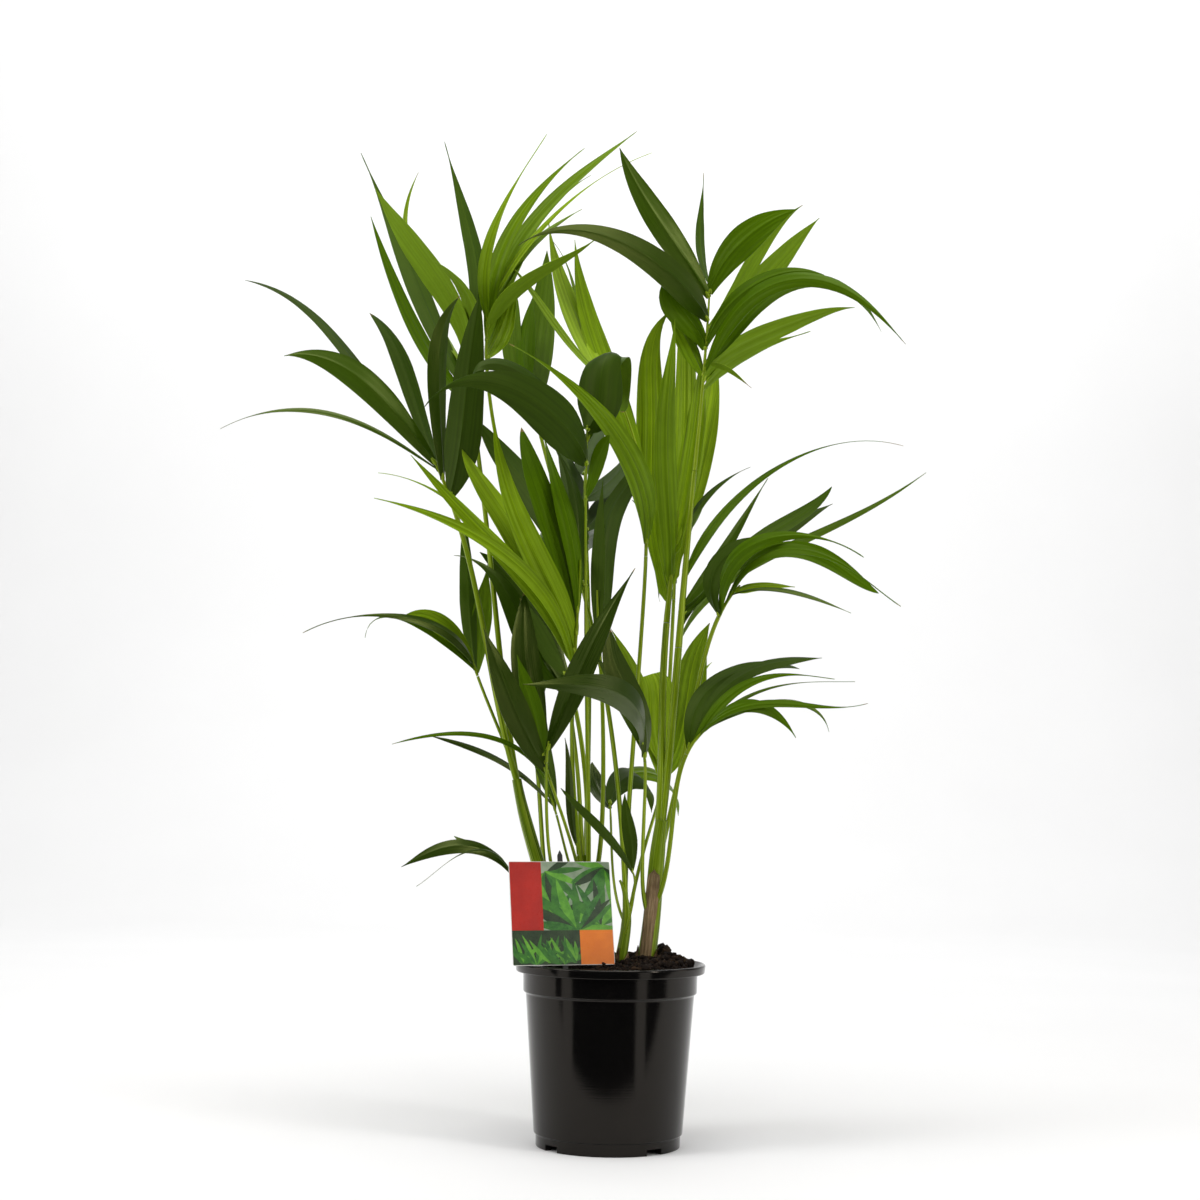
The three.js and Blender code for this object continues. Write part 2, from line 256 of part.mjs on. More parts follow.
    droop: [-53.2, 58.5, -15.7], sweep: [-83.6, 50.5, 5.1], blade: 0.875, radius: [1.5, 1.2, 0.7], leaflets: [
      [0.950, 113.8, 24.8, 81.4, -15.6, -14.3, 4, -2.1, -12, -6.9, 19.7, -164.5, -6.2, 0.6, 1],
      [0.984, 83.5, 38.9, 126.5, -10.5, 179.1, -29.9, -75.1, 0.3, 66.1, 29.3, 157.8, 49.5, 0.54, 1.3],
      [0.994, 84.7, 34.1, 186.6, 17.7, 125.6, -43.8, -75, -60.7, 142.6, 19.9, 148.2, 54.2, 0.7, 1.3],
    ] },
  { name: 'frond_front_low_small', stem: 'stem_centre_right', tone: 'dark', foot: [13.3, -14, 203.4], azimuth: -82.44, rise: 52.71, length: 78.4,
    droop: [-60.4, 7.1, 54.2], sweep: [120.1, -39.3, -169.5], blade: 0.833, radius: [1.3, 1.1, 0.7], leaflets: [
      [0.921, 241.8, 43.5, 129.5, 20.4, -12.1, -9.1, -38.5, -4.4, 8, 10, -143.8, -52.1, 0.5, 0.77],
      [0.950, 270.5, 75.8, 78.2, 17.5, -12.7, -20.5, -65.7, -16.9, 6.5, 14.7, -160.8, -13.9, 0.44, 1],
    ] },
  { name: 'frond_low_single', stem: 'stem_middle', tone: 'dark', foot: [-25.2, 18.1, 245.6], azimuth: -106, rise: 36.87, length: 62,
    droop: [-65.7, -4.9, 25.2], sweep: [-17.8, -15.9, -6.4], blade: 0.771, radius: [1.5, 1.2, 0.7], leaflets: [
      [0.914, 238.3, 59.7, 114.4, -28.3, 0.6, 15.4, 69, -20.1, -63.4, 9.8, -150.2, -12.6, 0.39, 1],
    ] },
  { name: 'frond_rear_centre', stem: 'stem_middle', tone: 'mid', foot: [-24.5, 18.6, 239.3], azimuth: 98.64, rise: 57.99, length: 492.8,
    droop: [-64.3, 58.9, -0.7], sweep: [-94, 250.9, -164.5], blade: 0.771, radius: [2.6, 1.9, 0.9], leaflets: [
      [0.799, 96.8, 25.9, 154.6, 11.9, 58.8, -25.9, -51.5, -6.3, 44.8, 28.4, 176.9, 42.8, 0.45, 1.3],
      [0.811, 123.9, 34.8, 157.7, -24.3, -3, 37.2, -0.5, 21.3, 19.2, 30.8, -157.9, -18, 0.45, 1.3],
      [0.822, 105.3, 18.4, 160.3, -32.7, 99.1, 10.4, 70.5, -61, -48.7, 35.2, -165.2, -51.1, 0.51, 0.77],
      [0.845, 70.3, 27.6, 155.3, -10, -19.8, 47, -3.2, -11.7, -14.4, 31, 165.3, 15.9, 0.45, 1.3],
      [0.868, 105.8, 38.4, 176.5, -11.8, -25.7, 36.4, -9.6, 6.8, 40.7, 28.1, -159.8, 3.6, 0.39, 2.2],
      [0.920, 64.4, 22.9, 161.8, -5.3, -21.6, 2.4, -4.1, -0.8, 28.5, 27, 166.5, 19.5, 0.21, 1.69],
      [0.989, 93.8, 35.4, 160.9, 2.9, 14.9, -18.9, -22.4, -45, 62.6, 31.5, 166.9, -5.3, 0.45, 1.3],
    ] },
  { name: 'frond_rear_right', stem: 'stem_right', tone: 'mid', foot: [43.5, 0, 261.1], azimuth: 84.34, rise: 43.82, length: 422.9,
    droop: [-69.5, -27.8, 80.8], sweep: [1.4, -69.9, 79.1], blade: 0.771, radius: [2.6, 1.9, 0.9], leaflets: [
      [0.817, 83, 36.9, 150.9, 102.9, 6.8, -53.2, 85.7, -100.9, 8.2, 20.3, -17.5, -78.2, 0.21, 1.3],
      [0.822, 112.3, 37.5, 141.1, -27.8, -25.1, 61.2, -27.2, 9.6, 62.7, 30.5, -160.2, 1.8, 0.45, 1],
      [0.880, 92.6, 12.3, 175.7, -5.2, -128.7, 161.1, 0.5, -11.3, 20.7, 28.4, -169.8, 15.6, 0.45, 1.3],
      [0.914, 87.2, 34.9, 154, 9.7, 14.3, -31.4, -32.8, -34.9, 64.5, 25.2, 164.8, 5.9, 0.45, 1],
      [0.920, 100.5, 38.3, 176.9, -4.9, -14.9, 4.3, 0.2, 0.1, 2.1, 30.9, -162.8, 6.7, 0.45, 1.3],
      [1.000, 78.2, 34.3, 167.1, -1.9, -5.1, 4, 6, 9.4, -12.9, 31.2, 161.4, -13.8, 0.45, 1.3],
    ] },
  { name: 'frond_rear_left', stem: 'stem_left', tone: 'mid', foot: [-54.4, 10.7, 204.2], azimuth: 123.7, rise: 49.55, length: 328.6,
    droop: [-140.4, 240.8, -117.8], sweep: [-136, 364.7, -288.8], blade: 0.812, radius: [2.6, 1.9, 0.9], leaflets: [
      [0.855, 104.7, 33.8, 119.5, -8.4, -13.1, 2.4, -1.5, -6.4, -2.2, 27.5, -159.2, 9.7, 0.39, 1.3],
      [0.883, 101.9, 17.8, 124.7, 142.4, -83.5, -22.8, -41.9, 23.2, 8.7, 25.1, 17.4, 32.1, 0.45, 1.3],
      [0.897, 55.9, 6.2, 109, 101, -29.3, -35.3, 161.7, -110.5, -75.9, 21.9, -16.5, -36.9, 0.45, 1.3],
      [0.948, 78.9, 8.2, 126.9, -38.7, -78, 148.7, -0.2, 4.1, -13.7, 27.8, 168.3, -0.1, 0.45, 1.3],
      [0.963, 92.2, 27.7, 144.9, -2.9, -8.3, 0.9, -2.3, -6.6, 0.4, 27.9, 166.1, -21.9, 0.45, 1.3],
    ] },
];

const rad = THREE.MathUtils.degToRad;

function limb(foot, azimuth, rise, length, droop, sweep, steps) {
  const bend = (u, list) => list.reduce((sum, b, k) => sum + b * u ** (k + 1), 0);
  const angles = (u) => [rad(azimuth + bend(u, sweep)), rad(rise - bend(u, droop))];
  const nodes = [];
  const p = new THREE.Vector3(...foot);
  for (let i = 0; i <= steps; i += 1) {
    if (i > 0) {
      const [a, e] = angles((i - 0.5) / steps);
      const d = length / steps;
      p.addScaledVector(heading(a, e), d);
    }
    const [a, e] = angles(i / steps);
    nodes.push({ p: p.clone(), a, e });
  }
  return nodes;
}

function along(nodes, u) {
  const x = Math.min(Math.max(u * (nodes.length - 1), 0), nodes.length - 1 - 1e-9);
  const i = Math.floor(x);
  const t = x - i;
  const n = nodes[i];
  const m = nodes[i + 1];
  return { p: n.p.clone().lerp(m.p, t), a: n.a * (1 - t) + m.a * t, e: n.e * (1 - t) + m.e * t };
}

const heading = (a, e) => new THREE.Vector3(Math.cos(e) * Math.cos(a), Math.cos(e) * Math.sin(a), Math.sin(e));

// side and face directions of a flat blade that travels along azimuth a and rise e,
// its width kept as near as can be to one direction
function facing(a, e, width) {
  const ahead = heading(a, e);
  const side = width.clone().addScaledVector(ahead, -width.dot(ahead)).normalize();
  return { side, face: ahead.clone().cross(side) };
}

// share of the full width at u, widest at peak, drawn out to the tip by the taper
function outline(u, peak, taper) {
  if (u < peak) return BLADE_FOOT + (1 - BLADE_FOOT) * (1 - ((peak - u) / peak) ** 1.8);
  const v = (u - peak) / (1 - peak);
  return (1 - v * v) ** taper;
}

// drops normals and seams, and the triangles that have no area
function weld(geometry) {
  geometry.deleteAttribute('normal');
  geometry.deleteAttribute('uv');
  const welded = mergeVertices(geometry, 1e-4);
  const index = welded.index.array;
  const kept = [];
  for (let i = 0; i < index.length; i += 3) {
    const [a, b, c] = [index[i], index[i + 1], index[i + 2]];
    if (a !== b && b !== c && c !== a) kept.push(a, b, c);
  }
  welded.setIndex(kept);
  return welded;
}

function volume(geometry) {
  const p = geometry.attributes.position;
  const index = geometry.index.array;
  let sum = 0;
  const [a, b, c] = [new THREE.Vector3(), new THREE.Vector3(), new THREE.Vector3()];
  for (let i = 0; i < index.length; i += 3) {
    a.fromBufferAttribute(p, index[i]);
    b.fromBufferAttribute(p, index[i + 1]);
    c.fromBufferAttribute(p, index[i + 2]);
    sum += a.dot(b.cross(c)) / 6;
  }
  return sum;
}

function toSolid(geometry) {
  const g = weld(geometry);
  const index = Uint32Array.from(g.index.array);
  if (volume(g) < 0) {
    for (let i = 0; i < index.length; i += 3) [index[i + 1], index[i + 2]] = [index[i + 2], index[i + 1]];
  }
  return new wasm.Manifold(new wasm.Mesh({
    numProp: 3,
    vertProperties: Float32Array.from(g.attributes.position.array),
    triVerts: index,
  }));
}

function toGeometry(solid) {
  const mesh = solid.getMesh();
  const g = new THREE.BufferGeometry();
  g.setAttribute('position', new THREE.BufferAttribute(Float32Array.from(mesh.vertProperties), 3));
  g.setIndex(new THREE.BufferAttribute(Uint32Array.from(mesh.triVerts), 1));
  return g;
}

// a cylinder of n sides, its rings moved by place(level 0..1, ring angle)
function bent(sides, levels, place) {
  const g = new THREE.CylinderGeometry(1, 1, 1, sides, levels);
  const p = g.attributes.position;
  for (let i = 0; i < p.count; i += 1) {
    const [x, y, z] = [p.getX(i), p.getY(i), p.getZ(i)];
    const level = Math.round((y + 0.5) * levels);
    const onAxis = Math.hypot(x, z) < 1e-6;
    const q = place(level, onAxis ? null : Math.atan2(z, x));
    p.setXYZ(i, q.x, q.y, q.z);
  }
  return g;
}

// round tapering stalk through the given nodes
function stalk(nodes, radii, sides, levelCut = null, turn = 0) {
  const last = nodes.length - 1;
  const up = new THREE.Vector3(0, -1, 0);
  return bent(sides, last, (k, ring) => {
    const c = nodes[k];
    const ahead = nodes[Math.min(k + 1, last)].clone().sub(nodes[Math.max(k - 1, 0)]).normalize();
    const side = ahead.clone().cross(up).normalize();
    const face = side.clone().cross(ahead);
    if (ring === null) return c.clone();
    const q = c.clone().addScaledVector(side, radii[k] * Math.cos(ring + turn)).addScaledVector(face, radii[k] * Math.sin(ring + turn));
    if (k === 0 && levelCut !== null) {
      const t = (levelCut - q.z) / ahead.z;
      q.addScaledVector(ahead, t);
    }
    return q;
  });
}

function blade(row, foot) {
  const [, azimuth, rise, length] = row;
  const [width, sideAzimuth, sideRise, peak, taper] = row.slice(10);
  const across = heading(rad(sideAzimuth), rad(sideRise));
  const nodes = limb(foot.toArray(), azimuth, rise, length, row.slice(4, 7), row.slice(7, 10), CURVE_STEPS);
  const stations = length < SHORT_BLADE ? SHORT_STATIONS : BLADE_STATIONS;
  const last = stations.length - 1;
  return bent(3, last, (k, ring) => {
    const u = stations[k];
    const at = along(nodes, u);
    if (k === last) return at.p;
    const { side, face } = facing(at.a, at.e, across);
    const w = width * outline(u, peak, taper);
    const h = Math.max(BLADE_MIN_THICK, BLADE_THICK_RATIO * w);
    if (ring === null) return at.p.clone().addScaledVector(face, -h / 6);
    if (Math.sin(ring) > 0.5) return at.p.clone().addScaledVector(face, h / 2);
    return at.p.clone().addScaledVector(side, (Math.cos(ring) > 0 ? w : -w) / 2).addScaledVector(face, -h / 2);
  });
}

const group = new THREE.Group();

function piece(name, solidOrGeometry, color, roughness, metalness = 0) {
  const geometry = solidOrGeometry.isBufferGeometry ? solidOrGeometry : toGeometry(solidOrGeometry);
  const mesh = new THREE.Mesh(geometry, new THREE.MeshStandardMaterial({ color, roughness, metalness }));
  mesh.name = name;
  group.add(mesh);
  return mesh;
}

const solids = new Map();
const tones = { dark: 0x2f4d12, mid: 0x4a7318, light: 0x6f9a1c };

// ---- pot: one turned shell, open at the top, on a notched foot ring and a flat middle disc
const v2 = (r, z) => new THREE.Vector2(r, z);
const potProfile = [
  v2(0, 0), v2(BASE_DISC_RADIUS, 0), v2(BASE_DISC_RADIUS + 3, CHANNEL_HEIGHT),
  v2(FOOT_RADIUS - FOOT_RING_WIDTH - 2, CHANNEL_HEIGHT), v2(FOOT_RADIUS - FOOT_RING_WIDTH, 0),
  v2(FOOT_RADIUS, 0), v2(FOOT_RADIUS + 0.2, FOOT_STEP), v2(BODY_FOOT_RADIUS, FOOT_STEP + 1),
  v2(BODY_TOP_RADIUS, COLLAR_FOOT - 2), v2(COLLAR_RADIUS - 0.4, COLLAR_FOOT),
  v2(COLLAR_RADIUS, POT_HEIGHT - LIP_HEIGHT), v2(RIM_RADIUS - 1, POT_HEIGHT - LIP_HEIGHT),
  v2(RIM_RADIUS, POT_HEIGHT - 1.5), v2(RIM_RADIUS - 2, POT_HEIGHT),
  v2(COLLAR_RADIUS - WALL, POT_HEIGHT - LIP_HEIGHT + 1), v2(COLLAR_RADIUS - WALL, COLLAR_FOOT),
  v2(BODY_TOP_RADIUS - WALL, COLLAR_FOOT - 3),
  v2(BODY_FOOT_RADIUS - WALL, 16), v2(BODY_FOOT_RADIUS - WALL - 3, FLOOR_TOP), v2(0, FLOOR_TOP),
];
let pot = toSolid(new THREE.LatheGeometry(potProfile, POT_SEGMENTS).rotateX(Math.PI / 2));
for (const angle of NOTCH_ANGLES) {
  const a = rad(angle);
  const notch = new THREE.BoxGeometry(NOTCH_WIDTH, 2 * FOOT_RING_WIDTH + 8, 2 * NOTCH_HEIGHT);
  notch.translate(0, -(FOOT_RADIUS - FOOT_RING_WIDTH / 2 + 1), 0);
  notch.rotateZ(a);
  pot = pot.subtract(toSolid(notch));
}
piece('pot', pot, 0x17181a, 0.38);

// ---- label: a card on a thin stake pushed into the soil
const labelTurn = new THREE.Matrix4()
  .makeTranslation(...CARD_FOOT)
  .multiply(new THREE.Matrix4().makeRotationZ(rad(CARD_YAW)))
  .multiply(new THREE.Matrix4().makeRotationX(rad(-CARD_LEAN)));
const card = new THREE.BoxGeometry(CARD_WIDTH, CARD_THICK, CARD_HEIGHT).translate(0, 0, CARD_HEIGHT / 2).applyMatrix4(labelTurn);
piece('label_card', toSolid(card), 0x4d7a2c, 0.45);
const spear = new THREE.Shape();
spear.moveTo(-STAKE_WIDTH / 2, -STAKE_BELOW);
spear.lineTo(STAKE_WIDTH / 2, -STAKE_BELOW);
spear.lineTo(STAKE_WIDTH / 2, CARD_HEIGHT + STAKE_ABOVE - 5);
spear.lineTo(0, CARD_HEIGHT + STAKE_ABOVE);
spear.lineTo(-STAKE_WIDTH / 2, CARD_HEIGHT + STAKE_ABOVE - 5);
spear.closePath();
const stakeAt = (grow) => {
  const g = new THREE.ExtrudeGeometry(spear, { depth: STAKE_THICK, bevelEnabled: false });
  g.rotateX(Math.PI / 2);
  g.scale(1 + grow * 2 / STAKE_WIDTH, 1 + grow * 2 / STAKE_THICK, 1 + grow * 2 / CARD_HEIGHT);
  g.translate(STAKE_OFFSET, CARD_THICK / 2 + 0.4 + STAKE_THICK + grow, 0);
  return toSolid(g.applyMatrix4(labelTurn));
};
piece('label_stake', stakeAt(0), 0x1c1c1a, 0.5);

// ---- soil: fills the pot, level round the stems, uneven and falling towards the rim
const soilProfile = [
  v2(0, FLOOR_TOP + SOIL_GAP), v2(BODY_FOOT_RADIUS - WALL - 3.6, FLOOR_TOP + SOIL_GAP),
  v2(BODY_FOOT_RADIUS - WALL - SOIL_GAP, 16), v2(BODY_TOP_RADIUS - WALL - SOIL_GAP, COLLAR_FOOT - 3),
  v2(COLLAR_RADIUS - WALL - SOIL_GAP, COLLAR_FOOT), v2(COLLAR_RADIUS - WALL - SOIL_GAP, SOIL_EDGE_LEVEL - 4),
  v2(COLLAR_RADIUS - WALL - 4, SOIL_EDGE_LEVEL), v2(72, SOIL_EDGE_LEVEL + 3), v2(SOIL_PATCH_RADIUS, SOIL_LEVEL), v2(0, SOIL_LEVEL),
];
const soilTurned = new THREE.LatheGeometry(soilProfile, POT_SEGMENTS).rotateX(Math.PI / 2);
const soilPoints = soilTurned.attributes.position;
for (let i = 0; i < soilPoints.count; i += 1) {
  const [x, y, z] = [soilPoints.getX(i), soilPoints.getY(i), soilPoints.getZ(i)];
  const r = Math.hypot(x, y);
  if (z > SOIL_EDGE_LEVEL + 1 && r > SOIL_PATCH_RADIUS + 1) {
    const a = Math.atan2(y, x);
    const rise = 2.2 * Math.sin(3 * a + 0.6) + 1.4 * Math.sin(7 * a + 2) + (x > 30 ? 3 : 0);
    soilPoints.setZ(i, z + rise);
  }
}
let soil = toSolid(soilTurned).subtract(stakeAt(SOIL_GAP));
piece('soil', soil, 0x2b2018, 0.95);

// ---- stems, each with the stalks of its fronds grown out of it
const stalkOf = new Map();
for (const f of fronds) stalkOf.set(f, limb(f.foot, f.azimuth, f.rise, f.length, f.droop, f.sweep, STALK_STEPS));

for (const s of stems) {
  const nodes = limb([...s.foot, STEM_CUT], s.azimuth, s.rise, s.length, s.droop, s.sweep, CURVE_STEPS);
  const points = [];
  const radii = [];
  for (let k = 0; k <= STEM_SEGMENTS; k += 1) {
    const u = k / STEM_SEGMENTS;
    points.push(along(nodes, u).p);
    radii.push(s.radius[0] * (1 - u) + s.radius[1] * u);
  }
  let solid = toSolid(stalk(points, radii, STEM_SIDES, STEM_CUT));
  for (const f of fronds.filter((g) => g.stem === s.name)) {
    const line = stalkOf.get(f);
    const stop = f.blade - JOINT_GAP / f.length;
    const p = [];
    const r = [];
    for (let k = 0; k <= STALK_SEGMENTS; k += 1) {
      const u = k / STALK_SEGMENTS;
      p.push(along(line, stop * u).p);
      r.push(f.radius[0] * (1 - u) + f.radius[1] * u);
    }
    solid = solid.add(toSolid(stalk(p, r, STALK_SIDES)));
  }
  solid = solid.asOriginal().simplify(SLIVER);
  solids.set(s.name, solid);
  piece(s.name, solid, 0x7d9a35, 0.5);
}

// ---- fronds: a rib with its leaflets, each leaflet a thin ridged blade. A frond with a
// bare stretch in its rib is two pieces, cut there.
for (const f of fronds) {
  const line = stalkOf.get(f);
  const spans = f.cut
    ? [[f.name, f.blade, f.cut - JOINT_GAP / f.length], [f.above, f.cut, 1]]
    : [[f.name, f.blade, 1]];
  const ribRadius = (u) => f.radius[1] + (f.radius[2] - f.radius[1]) * (u - f.blade) / (1 - f.blade);
  for (const [name, from, to] of spans) {
    const p = [];
    const r = [];
    for (let k = 0; k <= RIB_SEGMENTS; k += 1) {
      const u = from + (to - from) * k / RIB_SEGMENTS;
      p.push(along(line, u).p);
      r.push(ribRadius(u));
    }
    let solid = toSolid(stalk(p, r, RIB_SIDES, null, RIB_TURN));
    for (const row of f.leaflets.filter((l) => l[0] >= from && l[0] <= to)) {
      const x = (row[0] - from) / (to - from) * RIB_SEGMENTS;
      const i = Math.max(0, Math.min(Math.floor(x), RIB_SEGMENTS - 1));
      solid = solid.add(toSolid(blade(row, p[i].clone().lerp(p[i + 1], x - i))));
    }
    piece(name, solid.asOriginal().simplify(SLIVER), tones[f.tone], 0.42);
  }
}

export default group;
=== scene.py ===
# A potted kentia palm: slender clustered stems, arching fronds of long pleated leaflets,
# a black moulded nursery pot full of crumbly soil, and a picture card on a stake.
# The limbs repeat the tables of part.mjs. Lengths in the tables are millimetres.
import bpy
import math
import numpy as np
from mathutils import Matrix, Vector


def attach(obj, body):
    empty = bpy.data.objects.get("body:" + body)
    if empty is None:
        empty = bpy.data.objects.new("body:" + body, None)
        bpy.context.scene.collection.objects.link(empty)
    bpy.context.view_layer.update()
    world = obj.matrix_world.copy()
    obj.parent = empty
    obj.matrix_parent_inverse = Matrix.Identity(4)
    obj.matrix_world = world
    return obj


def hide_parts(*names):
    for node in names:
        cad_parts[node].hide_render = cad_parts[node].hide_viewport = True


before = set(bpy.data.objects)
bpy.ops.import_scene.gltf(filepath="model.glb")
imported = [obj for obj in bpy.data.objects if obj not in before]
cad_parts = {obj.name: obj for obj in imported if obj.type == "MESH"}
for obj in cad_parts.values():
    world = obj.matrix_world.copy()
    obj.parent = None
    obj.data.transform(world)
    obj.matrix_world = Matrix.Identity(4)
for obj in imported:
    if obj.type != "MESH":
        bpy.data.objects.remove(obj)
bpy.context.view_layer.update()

MM = 0.001
STALK_STEPS = 48
LEAF_STEPS = 48
LEAF_ROWS = 30            # faces along a leaflet
LEAF_COLUMNS = 26         # faces across a leaflet
FOOT = 0.2                # width where a leaflet leaves the rib, of the full width
STEM_CUT = 180.4
JOINT_GAP = 0.6
SOIL_LEVEL = 180.0

# name, foot (x, y), azimuth, rise, length, droop, sweep, radius at foot and top
STEMS = [
    {'name': 'stem_left', 'foot': (-50.37, 9.88), 'azimuth': 168, 'rise': 82.4, 'length': 186.51, 'droop': (37.6, -34.46), 'sweep': (9.88, -0.67), 'radius': (8, 5.6)},
    {'name': 'stem_middle', 'foot': (-20.47, 22.15), 'azimuth': -128.93, 'rise': 87.56, 'length': 105.45, 'droop': (13.23, -8.64), 'sweep': (-23.91, -13.35), 'radius': (9, 5.5)},
    {'name': 'stem_centre_right', 'foot': (9.4, -14), 'azimuth': 1.46, 'rise': 80.41, 'length': 82.95, 'droop': (7.85, -43.64), 'sweep': (-5.84, -6.66), 'radius': (6, 4)},
    {'name': 'stem_right', 'foot': (35.07, 0), 'azimuth': 0.11, 'rise': 79.83, 'length': 142.26, 'droop': (-22.77, 20.78), 'sweep': (-0.29, -0.05), 'radius': (9.6, 7.4)},
]

